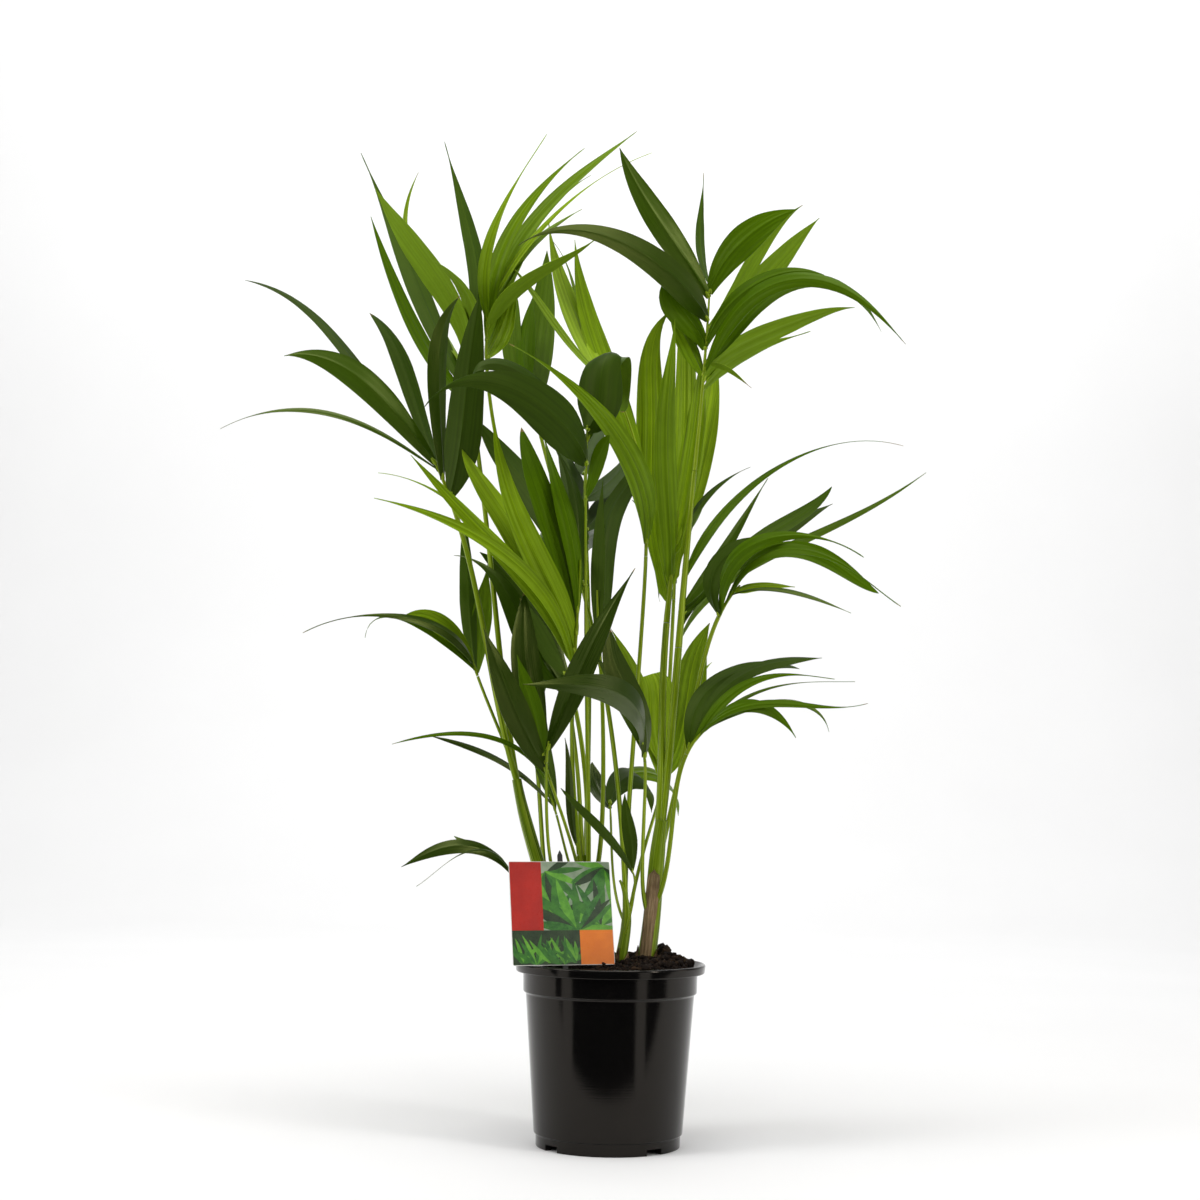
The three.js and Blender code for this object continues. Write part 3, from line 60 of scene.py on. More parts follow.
# name, stem, tone, foot, azimuth, rise, length, droop, sweep, blade start, radii, cut, leaflets.
# A leaflet: place on the stalk, azimuth, rise, length, 3 droops, 3 sweeps, width,
# azimuth and rise of its width, widest at, taper, tone, and what sets it apart.
FRONDS = [
    {'name': 'frond_left_upper', 'stem': 'stem_left', 'tone': 'dark', 'foot': (-97.1, 15.8, 356.4), 'azimuth': -163.48, 'rise': 71.57, 'length': 348.2,
     'droop': (-29.2, 32.1, 8.9), 'sweep': (11.6, 10.5, -22.5), 'blade': 0.833, 'radius': (3.3, 2.5, 0.9), 'leaflets': [
         (0.858, 295.9, 50.6, 209.3, -16.4, -4.4, -8.6, -46.5, 13, 51.8, 39.7, 162.2, 16.4, 0.32, 0.77, 'dark_d'),
         (0.912, 267.1, 63.8, 190.7, -41.9, 7.3, 47.4, -61.6, 52.6, 120.9, 25.2, -136.4, -10.5, 0.63, 1.3, 'dark_b', {'dry': 0.03}),
         (0.938, 129.4, 57.1, 198.1, -15, -54.5, 87.6, 21.8, 11.8, 17.5, 24.3, -139.6, -5.4, 0.62, 0.77, 'dark_d'),
         (0.942, 180.5, 33.2, 237.9, -13.5, 138.1, -59.4, 13.4, -8.7, 7.5, 6.9, -110.1, -55.1, 0.53, 2.86, 'dark_c'),
         (0.963, 215.6, 44.2, 195.7, -10.4, 14.2, 54.5, -21.2, -12.3, -0.7, 29.5, -155.4, -49, 0.57, 1.3, 'dark_c'),
         (0.992, 137.7, 37, 310.9, -23.5, -56, 109.9, 19.1, 8.7, 25.1, 17, -137.8, -15.2, 0.33, 0.77, 'dark_d'),
     ]},
    {'name': 'frond_left_top', 'stem': 'stem_left', 'tone': 'mid', 'foot': (-95.7, 15.7, 349.6), 'azimuth': 157.21, 'rise': 76.78, 'length': 475.4,
     'droop': (-31.8, 60.2, -27.6), 'sweep': (-14.8, -23.8, 11.1), 'blade': 0.771, 'radius': (3.2, 2.3, 0.9), 'leaflets': [
         (0.857, 162.5, 41.5, 240.4, -58.9, 38.8, -9.4, -3, 14.7, 12.5, 19.1, -144.3, -19.4, 0.27, 1, 'mid_b'),
         (0.885, 139.7, 48, 329, -50.7, 57, -22.8, -17.2, 40.8, 4.6, 26.3, -151.5, -11.7, 0.45, 2.2, 'dark_e'),
         (0.931, 119.8, 43.4, 310.2, 17.6, -143.6, 103, 7.4, 173.9, -285.7, 10.9, -137.1, 0.4, 0.4, 1, 'light_c'),
         (0.948, 185.2, 96.9, 237.5, 186.3, -249.5, 105, -42.3, -25.6, 34.2, 30.7, -41.6, 33.1, 0.46, 1.3, 'light_a'),
         (0.983, 349.5, 69.4, 114.4, 12.8, 37.7, -13.9, -248.3, -32.3, 112.3, 24.6, -43.3, -9.3, 0.34, 1.3, 'light_b'),
         (1.000, 31, 63.7, 250.8, -36.5, 52.3, -24.7, 232.7, 6.5, -116.6, 22.2, -145.5, -0.6, 0.45, 2.2, 'dark_e'),
     ]},
    {'name': 'frond_top_fan', 'stem': 'stem_middle', 'tone': 'light', 'foot': (-24.5, 18.5, 239.8), 'azimuth': 82.29, 'rise': 90.7, 'length': 639,
     'droop': (77.9, -61.5, -21.6), 'sweep': (193.7, -21.1, -64.4), 'blade': 0.896, 'radius': (2.6, 1.9, 0.9), 'leaflets': [
         (0.911, 43.9, 51, 104.1, -34, -11.1, 30.9, 34.4, -9.6, -41.2, 27.3, 158, 6.4, 0.29, 1.3, 'light_b'),
         (0.940, 91.1, 60.2, 139.5, -4.4, 20.5, -10.9, -67.7, -36.8, 12.2, 26.9, 52.7, -31, 0.4, 1.3, 'light_c'),
         (0.958, 310.4, 56.7, 158.6, 88, -40.9, -25.9, 56.6, -10, -18, 18.4, 48.4, -24.4, 0.28, 1.3, 'light_c'),
         (0.966, 356.7, 90.8, 225.2, 54.2, 20.9, -23.6, 5.3, -0.7, -1.9, 20.6, 151.3, 23.1, 0.23, 1.69, 'light_a'),
         (0.971, 222.6, 74.1, 212.5, 12.1, 20.1, -13.9, 252.3, -10.4, -124.8, 15.8, 151, 23.9, 0.23, 3.71, 'light_b'),
         (0.984, 48.4, 71.3, 277.5, 21.3, 66.1, -55.3, -66.6, -7.2, 31.9, 18.5, 153.4, 27.1, 0.35, 1.3, 'light_a'),
         (0.987, 62.8, 54.5, 228, -15.3, 21.3, 16.2, -21.7, -34.4, 4.3, 12.9, 152.4, 10.6, 0.36, 1.3, 'light_a'),
         (0.987, 70.8, 51.3, 201.1, -5.2, 37.2, -12.6, -32.5, -39.5, 22, 16, 155.9, 14.1, 0.29, 1.3, 'light_a'),
         (0.995, 0.3, 68.2, 244.5, 55.3, -23.6, 18.6, -14.6, -6.7, 11.1, 8.8, 142.1, 39.1, 0.19, 3.71, 'light_c'),
     ]},
    {'name': 'frond_rear_centre_upper', 'stem': 'stem_centre_right', 'tone': 'mid', 'foot': (14.1, -13.9, 242), 'azimuth': 103.99, 'rise': 76.06, 'length': 575.4,
     'droop': (7.6, 32.5, -41.1), 'sweep': (26, 81.5, -63.2), 'blade': 0.917, 'radius': (2.6, 1.9, 0.9), 'leaflets': [
         (0.942, 96.9, 50.1, 234.9, -16.2, -4.6, -9.8, -19.8, -48.7, 58.8, 37.8, 25.5, -17.5, 0.44, 1, 'mid_a'),
         (0.967, 136.9, 44.5, 193.7, -26.5, -85.7, 91.2, -84.4, -54.3, 158.9, 27.2, -31.9, 17.7, 0.5, 1.3, 'mid_b'),
         (0.998, 117.4, 55.9, 113.8, -17.7, -5.9, 1.6, -53.7, -22.7, 12.8, 25.7, 150.2, -13.1, 0.44, 1, 'mid_b'),
     ]},
    {'name': 'frond_centre_tall', 'stem': 'stem_centre_right', 'tone': 'light', 'foot': (14.4, -14, 212.5), 'azimuth': 103.75, 'rise': 79.12, 'length': 573.3,
     'droop': (-18.3, 1.9, 30.7), 'sweep': (-210.6, 134.6, 196.5), 'blade': 0.667, 'radius': (2.6, 1.9, 0.9), 'leaflets': [
         (0.692, 276.4, 35.7, 293, -19.5, 1.7, 27.1, -77.8, -58.2, 15.4, 27.5, -165.1, -42.3, 0.28, 2.2, 'light_a', {'foot': 0.45}),
         (0.825, 134.1, 73, 281.3, 54.5, -105.9, 45.8, 50, -40.8, -24.1, 27.1, -159.2, -14.6, 0.45, 1.3, 'light_b', {'foot': 0.45}),
         (0.983, 138.9, 41.6, 236, -77.8, 114.7, -76.1, -29.5, 55.4, -34.3, 25, -155.9, -10.8, 0.45, 1.69, 'light_c', {'foot': 0.45}),
         (0.992, 155.8, 33.6, 205.9, -58.6, 24.8, 25.9, -1.4, 12.7, 12.8, 10.3, -144.4, -22.8, 0.52, 2.2, 'light_b'),
         (0.992, 131.7, 37.1, 229.4, -24, -95.9, 107.8, -51.9, -36, 120.7, 9.2, -148.4, 6, 0.28, 1.69, 'light_a'),
     ]},
    {'name': 'frond_front_centre_upper', 'stem': 'stem_middle', 'tone': 'dark', 'foot': (-24.1, 18.8, 235.3), 'azimuth': -83.19, 'rise': 76.78, 'length': 483.6,
     'droop': (-21, 21.1, 3.6), 'sweep': (-110.6, 192.4, -86.6), 'blade': 0.542, 'radius': (2.6, 1.9, 0.9), 'leaflets': [
         (0.668, 126.5, 47.6, 222.4, -51.4, 134, -92.2, 10.1, 61.1, -0.4, 38.8, -149, -16.6, 0.51, 0.77, 'dark_d'),
         (0.851, 297.4, 49.1, 74.7, -11.9, 11.3, 10.5, -25.8, 17.2, 26.4, 17.5, 149.2, 32.5, 0.62, 0.77, 'mid_b'),
         (0.920, 258, 31.4, 239.3, 31.3, -68.7, 127.7, -118.8, 155.1, -107, 46.8, -171.6, -65.8, 0.28, 2.2, 'dark_d'),
         (0.954, 242.1, 48, 164.3, 94.8, -303.3, 326.5, -125.3, 125, -29.3, 20.5, -127.9, -50.5, 0.51, 0.77, 'dark_d'),
         (0.966, 0.4, 63.9, 203.5, -174.3, 575, -168.3, 149.6, 18.7, -86.7, 18, 180, 0, 0.5, 0.6, 'mid_a'),
         (0.989, 17.7, 49.8, 108.3, -124.6, -10.9, 247.2, 47.7, 15.6, -17.6, 45, 180, 0, 0.48, 0.55, 'dark_d', {'fold': 0.1, 'cup': -0.3, 'peak': 0.36, 'taper': 0.9, 'dry': 0.0, 'relief': 0.03}),
     ]},
    {'name': 'frond_centre_narrow', 'stem': 'stem_middle', 'tone': 'dark', 'foot': (-24.1, 18.8, 235.3), 'azimuth': -4.34, 'rise': 70.29, 'length': 319.9,
     'droop': (-87.1, 146.1, -71.9), 'sweep': (-259.9, 21.8, 136.1), 'blade': 0.750, 'radius': (2.6, 1.9, 0.9), 'leaflets': [
         (0.812, 234.2, 82.3, 172.9, -20.2, 5.9, 3, -19.2, -20.1, -17, 16.4, -29.9, 0, 0.45, 1.3, 'dark_a'),
         (0.856, 73.9, 47.8, 274, -95.5, 211.2, -125, 120, -174.1, -132.5, 28.9, 159, -6.7, 0.57, 1.3, 'dark_d'),
     ]},
    {'name': 'frond_centre_light', 'stem': 'stem_middle', 'tone': 'light', 'foot': (-25.7, 17.8, 250.3), 'azimuth': -143.29, 'rise': 75.41, 'length': 335.9,
     'droop': (-22.7, 59.2, -44.7), 'sweep': (77.3, 119, -134.8), 'blade': 0.667, 'radius': (2.6, 1.9, 0.9), 'leaflets': [
         (0.667, 254.1, 62.4, 288.4, 57.3, 2.3, -6.9, -108, -5.4, 49.3, 15.8, -145.2, -53.1, 0.34, 1.3, 'light_b'),
         (0.675, 224.5, 64.1, 289.4, 53.9, -81.8, 89.1, -75.2, 13.8, 17.4, 10.6, -137.1, -38.2, 0.24, 1.69, 'light_b'),
         (0.683, 240.8, 65.5, 271.3, 105, -158.3, 73, -104.1, 32.1, 21.5, 22.8, -148.1, -45.9, 0.25, 1, 'light_b', {'foot': 0.35}),
         (0.692, 205.6, 57.6, 242.4, -75.2, 212, -142.6, -0.3, -42.2, 0.6, 27.3, -152.9, -28.2, 0.53, 0.77, 'light_c', {'foot': 0.35}),
         (0.717, 239.9, 66, 256.9, 58.2, -127.2, 51, -91, 17, 38.2, 29.7, -153.2, -29.1, 0.29, 1.3, 'light_b', {'foot': 0.35}),
         (0.775, 228.7, 80.3, 219.3, 18.4, 5.2, -13.5, -85.9, -28, 24.9, 28.8, -149.5, -16.4, 0.57, 0.77, 'mid_b', {'foot': 0.35}),
         (0.842, 277.9, 76.7, 201.4, -29, 84.6, -32.1, -225.6, -49.5, 110.6, 20.2, -150.2, -12.2, 0.45, 2.2, 'mid_b'),
         (0.883, 99.3, 39.7, 210.5, -24.6, -98.9, 112.6, -70.2, 59.7, 138.6, 22.6, -148.4, 15.4, 0.45, 1.69, 'dark_a'),
     ]},
    {'name': 'frond_centre_dark', 'stem': 'stem_middle', 'tone': 'dark', 'foot': (-25.7, 17.9, 250), 'azimuth': -160.48, 'rise': 79.52, 'length': 223,
     'droop': (-50.7, 114.5, -60.8), 'sweep': (10.5, -9.7, 43.6), 'blade': 0.854, 'radius': (2.6, 1.9, 0.9), 'leaflets': [
         (0.894, 159.4, 40.8, 194.7, -75.6, 6.8, 110.5, 13.2, 16.2, -10.9, 30.5, -153.2, -21.3, 0.38, 2.2, 'dark_b'),
         (0.931, 123.9, 49.3, 182.9, -45.3, 69.6, -6.8, 13.3, 40.8, 24.1, 33.7, -151.8, -14.2, 0.56, 1, 'dark_b'),
         (0.985, 149, 46, 93.4, -31.2, 1, 19.3, 19.1, 17.9, 13.6, 24.9, -41.5, 29.6, 0.5, 1.3, 'dark_a'),
     ]},
    {'name': 'frond_right_inner', 'stem': 'stem_right', 'tone': 'light', 'foot': (45.8, 0, 292.1), 'azimuth': 66.21, 'rise': 86.83, 'length': 354.6,
     'droop': (83, -192.8, 116.2), 'sweep': (101.7, -32.5, -220.4), 'blade': 0.667, 'radius': (4.1, 3.4, 1), 'leaflets': [
         (0.733, 115.4, 62.2, 316.7, -67.5, -39.7, 126, 89.8, 82.6, 56.7, 33.2, -156.5, -0.8, 0.62, 1, 'light_b', {'foot': 0.55}),
         (0.900, 71.8, 76.7, 298.8, -9.6, -39.6, 47.6, -72.3, 94.2, 151.7, 27.5, 148.1, -1.3, 0.45, 1.3, 'light_c', {'foot': 0.55}),
         (0.792, 268.2, 68.3, 271.7, -6, 6.8, -21.6, -67.7, 67.2, 90, 26.2, -153.2, -11.4, 0.45, 1.3, 'light_a', {'foot': 0.55}),
         (0.783, 70.3, 66.4, 278.8, 4.2, -30, 4.9, -61.5, 12.7, 40.9, 30.5, 155.2, 5.8, 0.51, 1, 'light_c', {'foot': 0.55}),
         (0.875, 32.7, 80.2, 205.8, 11.9, -34.9, 15.3, -22.5, -7.2, -0.9, 27.8, 153.9, 6.5, 0.45, 1, 'light_b', {'foot': 0.55}),
     ]},
    {'name': 'frond_right_tall', 'stem': 'stem_right', 'tone': 'dark', 'foot': (45.8, 0, 291.7), 'azimuth': 53.23, 'rise': 77.34, 'length': 597.4,
     'droop': (-42.7, 86.2, -50.7), 'sweep': (-25.5, 12.3, 24), 'blade': 0.348, 'radius': (4.3, 3.7, 1), 'cut': 0.66, 'above': 'frond_right_tall_fan', 'leaflets': [
         (0.358, 48.3, 62.1, 366.8, 155.5, -198.4, 68.9, -83.2, 69.6, -15.5, 13.3, 79.4, -49, 0.22, 1, 'mid_b'),
         (0.386, 50.6, 61.3, 232.5, 112.9, -160.3, 84.2, -75.9, 37.2, 4.7, 26, 138.9, 30.3, 0.61, 1.3, 'dark_d'),
         (0.403, 13.7, 39.6, 215.4, -106, 348.7, -259.5, 21.3, -47.8, 13.3, 18.9, 145.1, 37.3, 0.61, 0.77, 'dark_e'),
         (0.419, 344.2, 46, 159.3, -41.8, 36.7, -7.5, 0.6, 10.6, 7.6, 14.9, 145.6, 30.1, 0.27, 1.69, 'dark_c'),
         (0.467, 42.7, 63.6, 318.3, 61.7, -30.8, 46.1, -70.1, 44.5, -5.8, 11.4, 142.7, 35, 0.18, 3.71, 'mid_b', {'dry': 0.06, 'curl': 0.8}),
         (0.532, 87.1, 64.7, 126.4, 42.3, -15.1, 15, -133.8, 25.3, 46.6, 9.7, 144.8, 16.3, 0.39, 2.2, 'dark_e'),
         (0.806, 45.6, 45, 159.5, 1.4, 109.1, -87.9, -27.1, -20.9, 13.9, 18.2, 76.6, -49.9, 0.4, 2.86, 'light_c'),
         (0.822, 30.1, 67.7, 190.8, 206.6, -336.8, 195.1, -66.3, 5.3, 39.8, 25.8, 69.8, -42, 0.39, 1.3, 'light_b'),
         (0.832, 163.2, 61.6, 79.4, -8.9, 5, 14.1, -1.2, 1.9, 3.7, 23.3, -151, -19.3, 0.5, 1.3, 'light_a'),
         (0.839, 302.7, 54.3, 292.3, -20.8, 376.6, -251.4, 67.1, -11.8, -19, 20.3, 120.4, 78.3, 0.23, 1.3, 'mid_b', {'curl': 0.9}),
         (0.855, 348.6, 3.9, 58.8, 85.5, 1.6, -44.8, 0.4, -1.4, -2.3, 7.5, 101.1, -33.1, 0.34, 1.69, 'light_c', {'dry': 0.22}),
         (0.855, 352.1, 37.8, 244.2, -162.8, 566, -300.8, -66.7, 68.9, 2.3, 20.7, 114.6, 59.4, 0.28, 1, 'mid_b'),
         (0.881, 208.8, 69.9, 89.4, 81.5, -33.6, -66.8, -69.6, 55.5, 129.4, 37.9, -146.1, -43.1, 0.74, 0.77, 'mid_b'),
         (0.887, 292, 50.2, 165.9, 45.9, -24.8, 53.9, 87.5, -19.6, -20.6, 20.4, 141.5, 60.3, 0.4, 1.3, 'mid_b'),
         (0.903, 56, 41.9, 236.7, 35.9, -114.6, 77, -36.2, 28.7, -28.3, 31.4, 51.1, -47.8, 0.5, 1.3, 'light_a'),
         (0.919, 42.9, 40.4, 205.4, -51.2, 24.7, 33, 18, -30.7, -24, 20.1, 44.3, -34.5, 0.51, 1.3, 'light_c'),
         (0.935, 241.5, 32.6, 266.6, 28.9, -19.2, 63.6, -91.7, 108.1, -58.8, 31.9, 178.5, -67.9, 0.2, 1.69, 'dark_b'),
         (0.984, 302.3, 62.4, 132.7, 64.5, -58.8, 40.9, 81.4, -15, -15.4, 34.1, 162.6, 48.2, 0.5, 1.3, 'mid_b'),
         (0.977, 215.7, 50, 182.4, 11.4, -20, -8.4, -23.2, -1.8, 10.6, 29, -168, -39.4, 0.45, 1, 'dark_c'),
         (1.000, 116.8, 52, 167.6, -15.5, -6.3, 6, -68.4, -7.2, 45.1, 14.4, -142.2, 20.2, 0.34, 2.2, 'dark_e', {'dry': 0.05}),
     ]},
    {'name': 'frond_right_middle', 'stem': 'stem_right', 'tone': 'dark', 'foot': (43.5, 0, 262.5), 'azimuth': 31.22, 'rise': 76.54, 'length': 314.8,
     'droop': (-4.2, -14.2, 51.8), 'sweep': (-128.5, -148.8, 220.2), 'blade': 0.875, 'radius': (2.6, 2.1, 0.9), 'leaflets': [
         (0.878, 52.3, 134, 119, 170.1, 32.6, -72.2, -154.6, 8.9, 89.6, 24.3, 140.1, 28.2, 0.45, 1.3, 'dark_d'),
         (0.884, 262.1, 65.9, 208.9, 92.5, 19.8, -10.5, 130.9, 68.4, -122.3, 22.2, 128.7, 68.1, 0.22, 2.86, 'mid_b'),
         (0.922, 289.3, 49.5, 236.8, 43.6, 241, -201.3, 98.1, -57.1, 9.9, 14.6, 50.9, 72.2, 0.3, 3.71, 'mid_b'),
         (0.953, 324.8, 67.4, 183, 105.7, 192, -202.5, 24.8, 9.5, -13.9, 18.5, 65.1, 71.6, 0.59, 0.77, 'mid_b'),
         (0.959, 317, 14.9, 143, 69.6, -27.7, -4.6, 13.1, -4.9, -1.7, 5, 34.8, 58, 0.45, 1.3, 'dark_c'),
         (0.972, 336.3, 17.4, 63.6, 32.5, 3.5, -12.6, 2.6, -0.3, -1.8, 10.2, 74.7, 66.6, 0.22, 1.3, 'light_c'),
     ]},
    {'name': 'frond_right_lower', 'stem': 'stem_right', 'tone': 'dark', 'foot': (41.2, 0, 230.8), 'azimuth': -50.48, 'rise': 50.79, 'length': 207.4,
     'droop': (-100.5, 59.4, 61.4), 'sweep': (-68.8, 49.8, 66.3), 'blade': 0.812, 'radius': (2.5, 2, 0.9), 'leaflets': [
         (0.836, 90.5, 79.8, 197.3, 139.3, -82.8, 33.8, -189.3, 145.7, -0.3, 20.1, 152.6, 38.1, 0.33, 0.77, 'dark_d'),
         (0.845, 48.8, 61.7, 189, 12.9, 144, -99.4, -31, -62.4, 54.4, 15, 146, 33.8, 0.66, 1.3, 'dark_d'),
         (0.873, 343.2, 57.2, 167.7, -26.7, 278.3, -188.3, 2.2, 33.5, -19, 12.6, 127.3, 52.2, 0.26, 2.86, 'mid_b'),
         (0.892, 330, 47.4, 176.9, 24.3, 120.2, -99, 18, 15, -9.4, 5.1, 112.2, 60, 0.2, 3.71, 'dark_c'),
         (0.934, 305.2, 35, 193.4, 53.9, 99.6, -135.1, 48.5, -17.8, 2.4, 7.9, 64.1, 74.2, 0.45, 2.2, 'mid_b'),
         (0.958, 307.6, 38.1, 126.4, 18.9, 160.4, -82.1, 25.5, 2.2, -0.6, 13.9, 62.3, 70.6, 0.44, 1.3, 'mid_b'),
         (0.991, 326, 28.7, 141, 36.2, -37.6, 106.2, 42.4, -2.5, -56.7, 6.7, 90.6, 63.3, 0.46, 1.3, 'dark_c'),
     ]},
    {'name': 'frond_left_middle', 'stem': 'stem_left', 'tone': 'dark', 'foot': (-97.1, 15.8, 356.4), 'azimuth': 169.29, 'rise': 75.18, 'length': 139.9,
     'droop': (38.5, -46.7, 11), 'sweep': (54.3, -7.2, -41.1), 'blade': 0.833, 'radius': (1.8, 1.5, 0.8), 'leaflets': [
         (0.858, 93.5, 54.4, 130.4, -15.9, -13, 4.8, -21.7, -8.1, 2.7, 24.1, 31.8, -17.4, 0.5, 1.69, 'light_a'),
         (0.875, 226.2, 37.8, 151.9, 18, -77.9, 180.3, -76.9, 7, 91.9, 9.5, -117.4, -53.6, 0.47, 3.71, 'mid_b'),
         (0.875, 115.9, 61.1, 172.9, -27.5, 11.9, -7.2, -40.9, 28.6, 31.1, 19.3, -148.3, 5.1, 0.44, 1, 'dark_c'),
         (0.904, 242, 52.1, 211.3, 137.6, -122.3, 67.3, -92.1, 45.6, 9.4, 12.4, -87.4, -71.8, 0.18, 3.71, 'dark_b'),
         (0.938, 224.9, 53.1, 99.1, 32.3, -5.6, 52.1, -38, 11.4, 7.7, 22.3, -139.7, -54.7, 0.5, 1.3, 'light_b'),
     ]},
    {'name': 'frond_left_lower', 'stem': 'stem_middle', 'tone': 'dark', 'foot': (-22.3, 20.2, 215.8), 'azimuth': -101.87, 'rise': 44.5, 'length': 145.1,
     'droop': (-56.6, -14.6, 50.8), 'sweep': (-108.2, 7.6, 50.9), 'blade': 0.854, 'radius': (1.6, 1.2, 0.7), 'leaflets': [
         (0.883, 96.6, 62, 116, 3, -16.5, -5.5, 71.6, -32.2, -67.3, 14, -33.6, 22.4, 0.45, 1, 'dark_c'),
         (0.912, 122.1, 29.7, 174.1, -8.2, 41, -14.2, 31.7, 35.4, 4.1, 7.2, -147.3, -36, 0.68, 1, 'dark_a'),
         (0.942, 111.9, 68.3, 69.6, 47.8, -24.6, -52.2, 66.2, -14.7, -48.8, 16, -146.8, -7.1, 0.39, 1.3, 'dark_c'),
         (0.956, 232.7, 73.7, 197.6, 151.7, -54.4, -6.8, -92.9, 27.1, 36.1, 5.6, -104.2, -61.1, 0.33, 0.77, 'mid_b'),
     ]},
    {'name': 'frond_left_lowest', 'stem': 'stem_left', 'tone': 'dark', 'foot': (-52.8, 10.4, 195.8), 'azimuth': -116.39, 'rise': 43.19, 'length': 104.1,
     'droop': (-36.2, 53.7, -23.1), 'sweep': (-72.3, -1.6, 45.2), 'blade': 0.875, 'radius': (1.7, 1.3, 0.7), 'leaflets': [
         (0.891, 237.9, 52.3, 141, 99.9, 132, -153.3, -42.6, 32, -7.4, 2.8, -38.4, -52.7, 0.22, 3.71, 'dark_a'),
         (0.912, 218.9, 49.2, 128, 74.2, 93.9, -89.9, -33, 7.2, -0.7, 14.4, -78.2, -69.6, 0.54, 1.3, 'dark_a'),
         (0.972, 158, 48.3, 64.9, 77.8, -40.7, -21.7, 21.4, -6.2, -7.6, 10.1, -130.8, -45.6, 0.4, 0.77, 'dark_c'),
     ]},
    {'name': 'frond_front_left_inner', 'stem': 'stem_middle', 'tone': 'dark', 'foot': (-22.3, 20.2, 215.6), 'azimuth': -101.17, 'rise': 56.9, 'length': 190.6,
     'droop': (-49.1, 92.1, -49.2), 'sweep': (-76.4, 4.5, 50.1), 'blade': 0.854, 'radius': (1.9, 1.5, 0.8), 'leaflets': [
         (0.898, 229.3, 44.5, 165.6, -28.2, 10.4, -3.2, 12.2, -16.2, -13.3, 29.1, -157.4, -31.4, 0.45, 1.3, 'dark_a'),
         (0.945, 242.9, 68.3, 115.3, 7.5, 2.2, -5.3, -17.6, -3.1, 8, 22.7, -148, -23.3, 0.45, 1.3, 'mid_b'),
         (0.989, 185.9, 82.2, 163.5, 34, -50.4, 0.2, 29.7, 42.4, 34.5, 31.5, -158.3, -12.8, 0.51, 1, 'dark_a'),
     ]},
    {'name': 'frond_front_centre_blade', 'stem': 'stem_middle', 'tone': 'dark', 'foot': (-22.4, 20.2, 216.2), 'azimuth': -133.49, 'rise': 15.67, 'length': 214.8,
     'droop': (-164.1, 68.3, 48.9), 'sweep': (17.8, 28.9, 15.8), 'blade': 0.896, 'radius': (1.9, 1.5, 0.9), 'leaflets': [
         (0.956, 304.7, 55.5, 204, -14.8, 8.9, 2.4, 26.4, 2.4, 31.7, 27.9, 160.3, 28.3, 0.4, 1.69, 'dark_a'),
     ]},
    {'name': 'frond_front_centre', 'stem': 'stem_right', 'tone': 'dark', 'foot': (40.1, 0, 217.6), 'azimuth': -145.41, 'rise': 61.91, 'length': 190.6,
     'droop': (-63.1, 5.6, 61.1), 'sweep': (180.4, 5.8, -188.3), 'blade': 0.875, 'radius': (2.2, 1.6, 0.8), 'leaflets': [
         (0.900, 290.3, 66.6, 145.7, 67.5, -45.2, -43.1, -185.6, 46.7, 114.9, 28.5, -154.1, -38.7, 0.62, 0.77, 'dark_a'),
         (0.938, 133.7, 68.4, 109, 40.1, -88, 66.8, 72.3, -6.6, -24.6, 17.1, -145.1, -17.9, 0.5, 1.3, 'dark_a'),
         (0.966, 276.8, 31.1, 235.1, -6.4, 143.5, -104.8, -86.7, 6, 14.5, 28.6, -162.8, -70.5, 0.42, 1.3, 'dark_a'),
     ]},
    {'name': 'frond_rear_right_lower', 'stem': 'stem_centre_right', 'tone': 'light', 'foot': (13.8, -14, 207.6), 'azimuth': 63.4, 'rise': 65.07, 'length': 191.6,
     'droop': (-31.3, 110, -89.5), 'sweep': (-2.2, -74.3, 79.7), 'blade': 0.812, 'radius': (2, 1.5, 0.8), 'leaflets': [
         (0.873, 109.1, 59.6, 185.3, -12.8, 5.2, 13.2, 23.1, 20.2, 8.4, 25.4, -154.1, -4.3, 0.44, 1.3, 'light_c'),
         (0.916, 35.9, 48.8, 189.2, -77.9, 118.9, -47.6, 140, -117.8, -28.9, 40.3, 159.8, -1.2, 0.44, 1, 'light_b'),
         (0.977, 143.7, 50.9, 108.6, -140.2, 87.2, 74.5, -51.1, 21.7, 41.6, 42, -156.6, -0.1, 0.72, 1, 'light_c', {'cut': 0.9, 'foot': 0.4}),
         (0.995, 66.5, 28.5, 187.5, -28.6, -2.6, 29.5, 47.9, -29.7, -45.2, 20.8, 155.6, -14.6, 0.5, 1, 'light_b'),
     ]},
    {'name': 'frond_rear_centre_low', 'stem': 'stem_centre_right', 'tone': 'dark', 'foot': (14.8, -14, 217.2), 'azimuth': 125.9, 'rise': 45.76, 'length': 145.3,
     'droop': (-53.2, 58.5, -15.7), 'sweep': (-83.6, 50.5, 5.1), 'blade': 0.875, 'radius': (1.5, 1.2, 0.7), 'leaflets': [
         (0.950, 113.8, 24.8, 81.4, -15.6, -14.3, 4, -2.1, -12, -6.9, 19.7, -164.5, -6.2, 0.6, 1, 'dark_a'),
         (0.984, 83.5, 38.9, 126.5, -10.5, 179.1, -29.9, -75.1, 0.3, 66.1, 29.3, 157.8, 49.5, 0.54, 1.3, 'dark_d'),
         (0.994, 84.7, 34.1, 186.6, 17.7, 125.6, -43.8, -75, -60.7, 142.6, 19.9, 148.2, 54.2, 0.7, 1.3, 'light_a'),
     ]},
    {'name': 'frond_front_low_small', 'stem': 'stem_centre_right', 'tone': 'dark', 'foot': (13.3, -14, 203.4), 'azimuth': -82.44, 'rise': 52.71, 'length': 78.4,
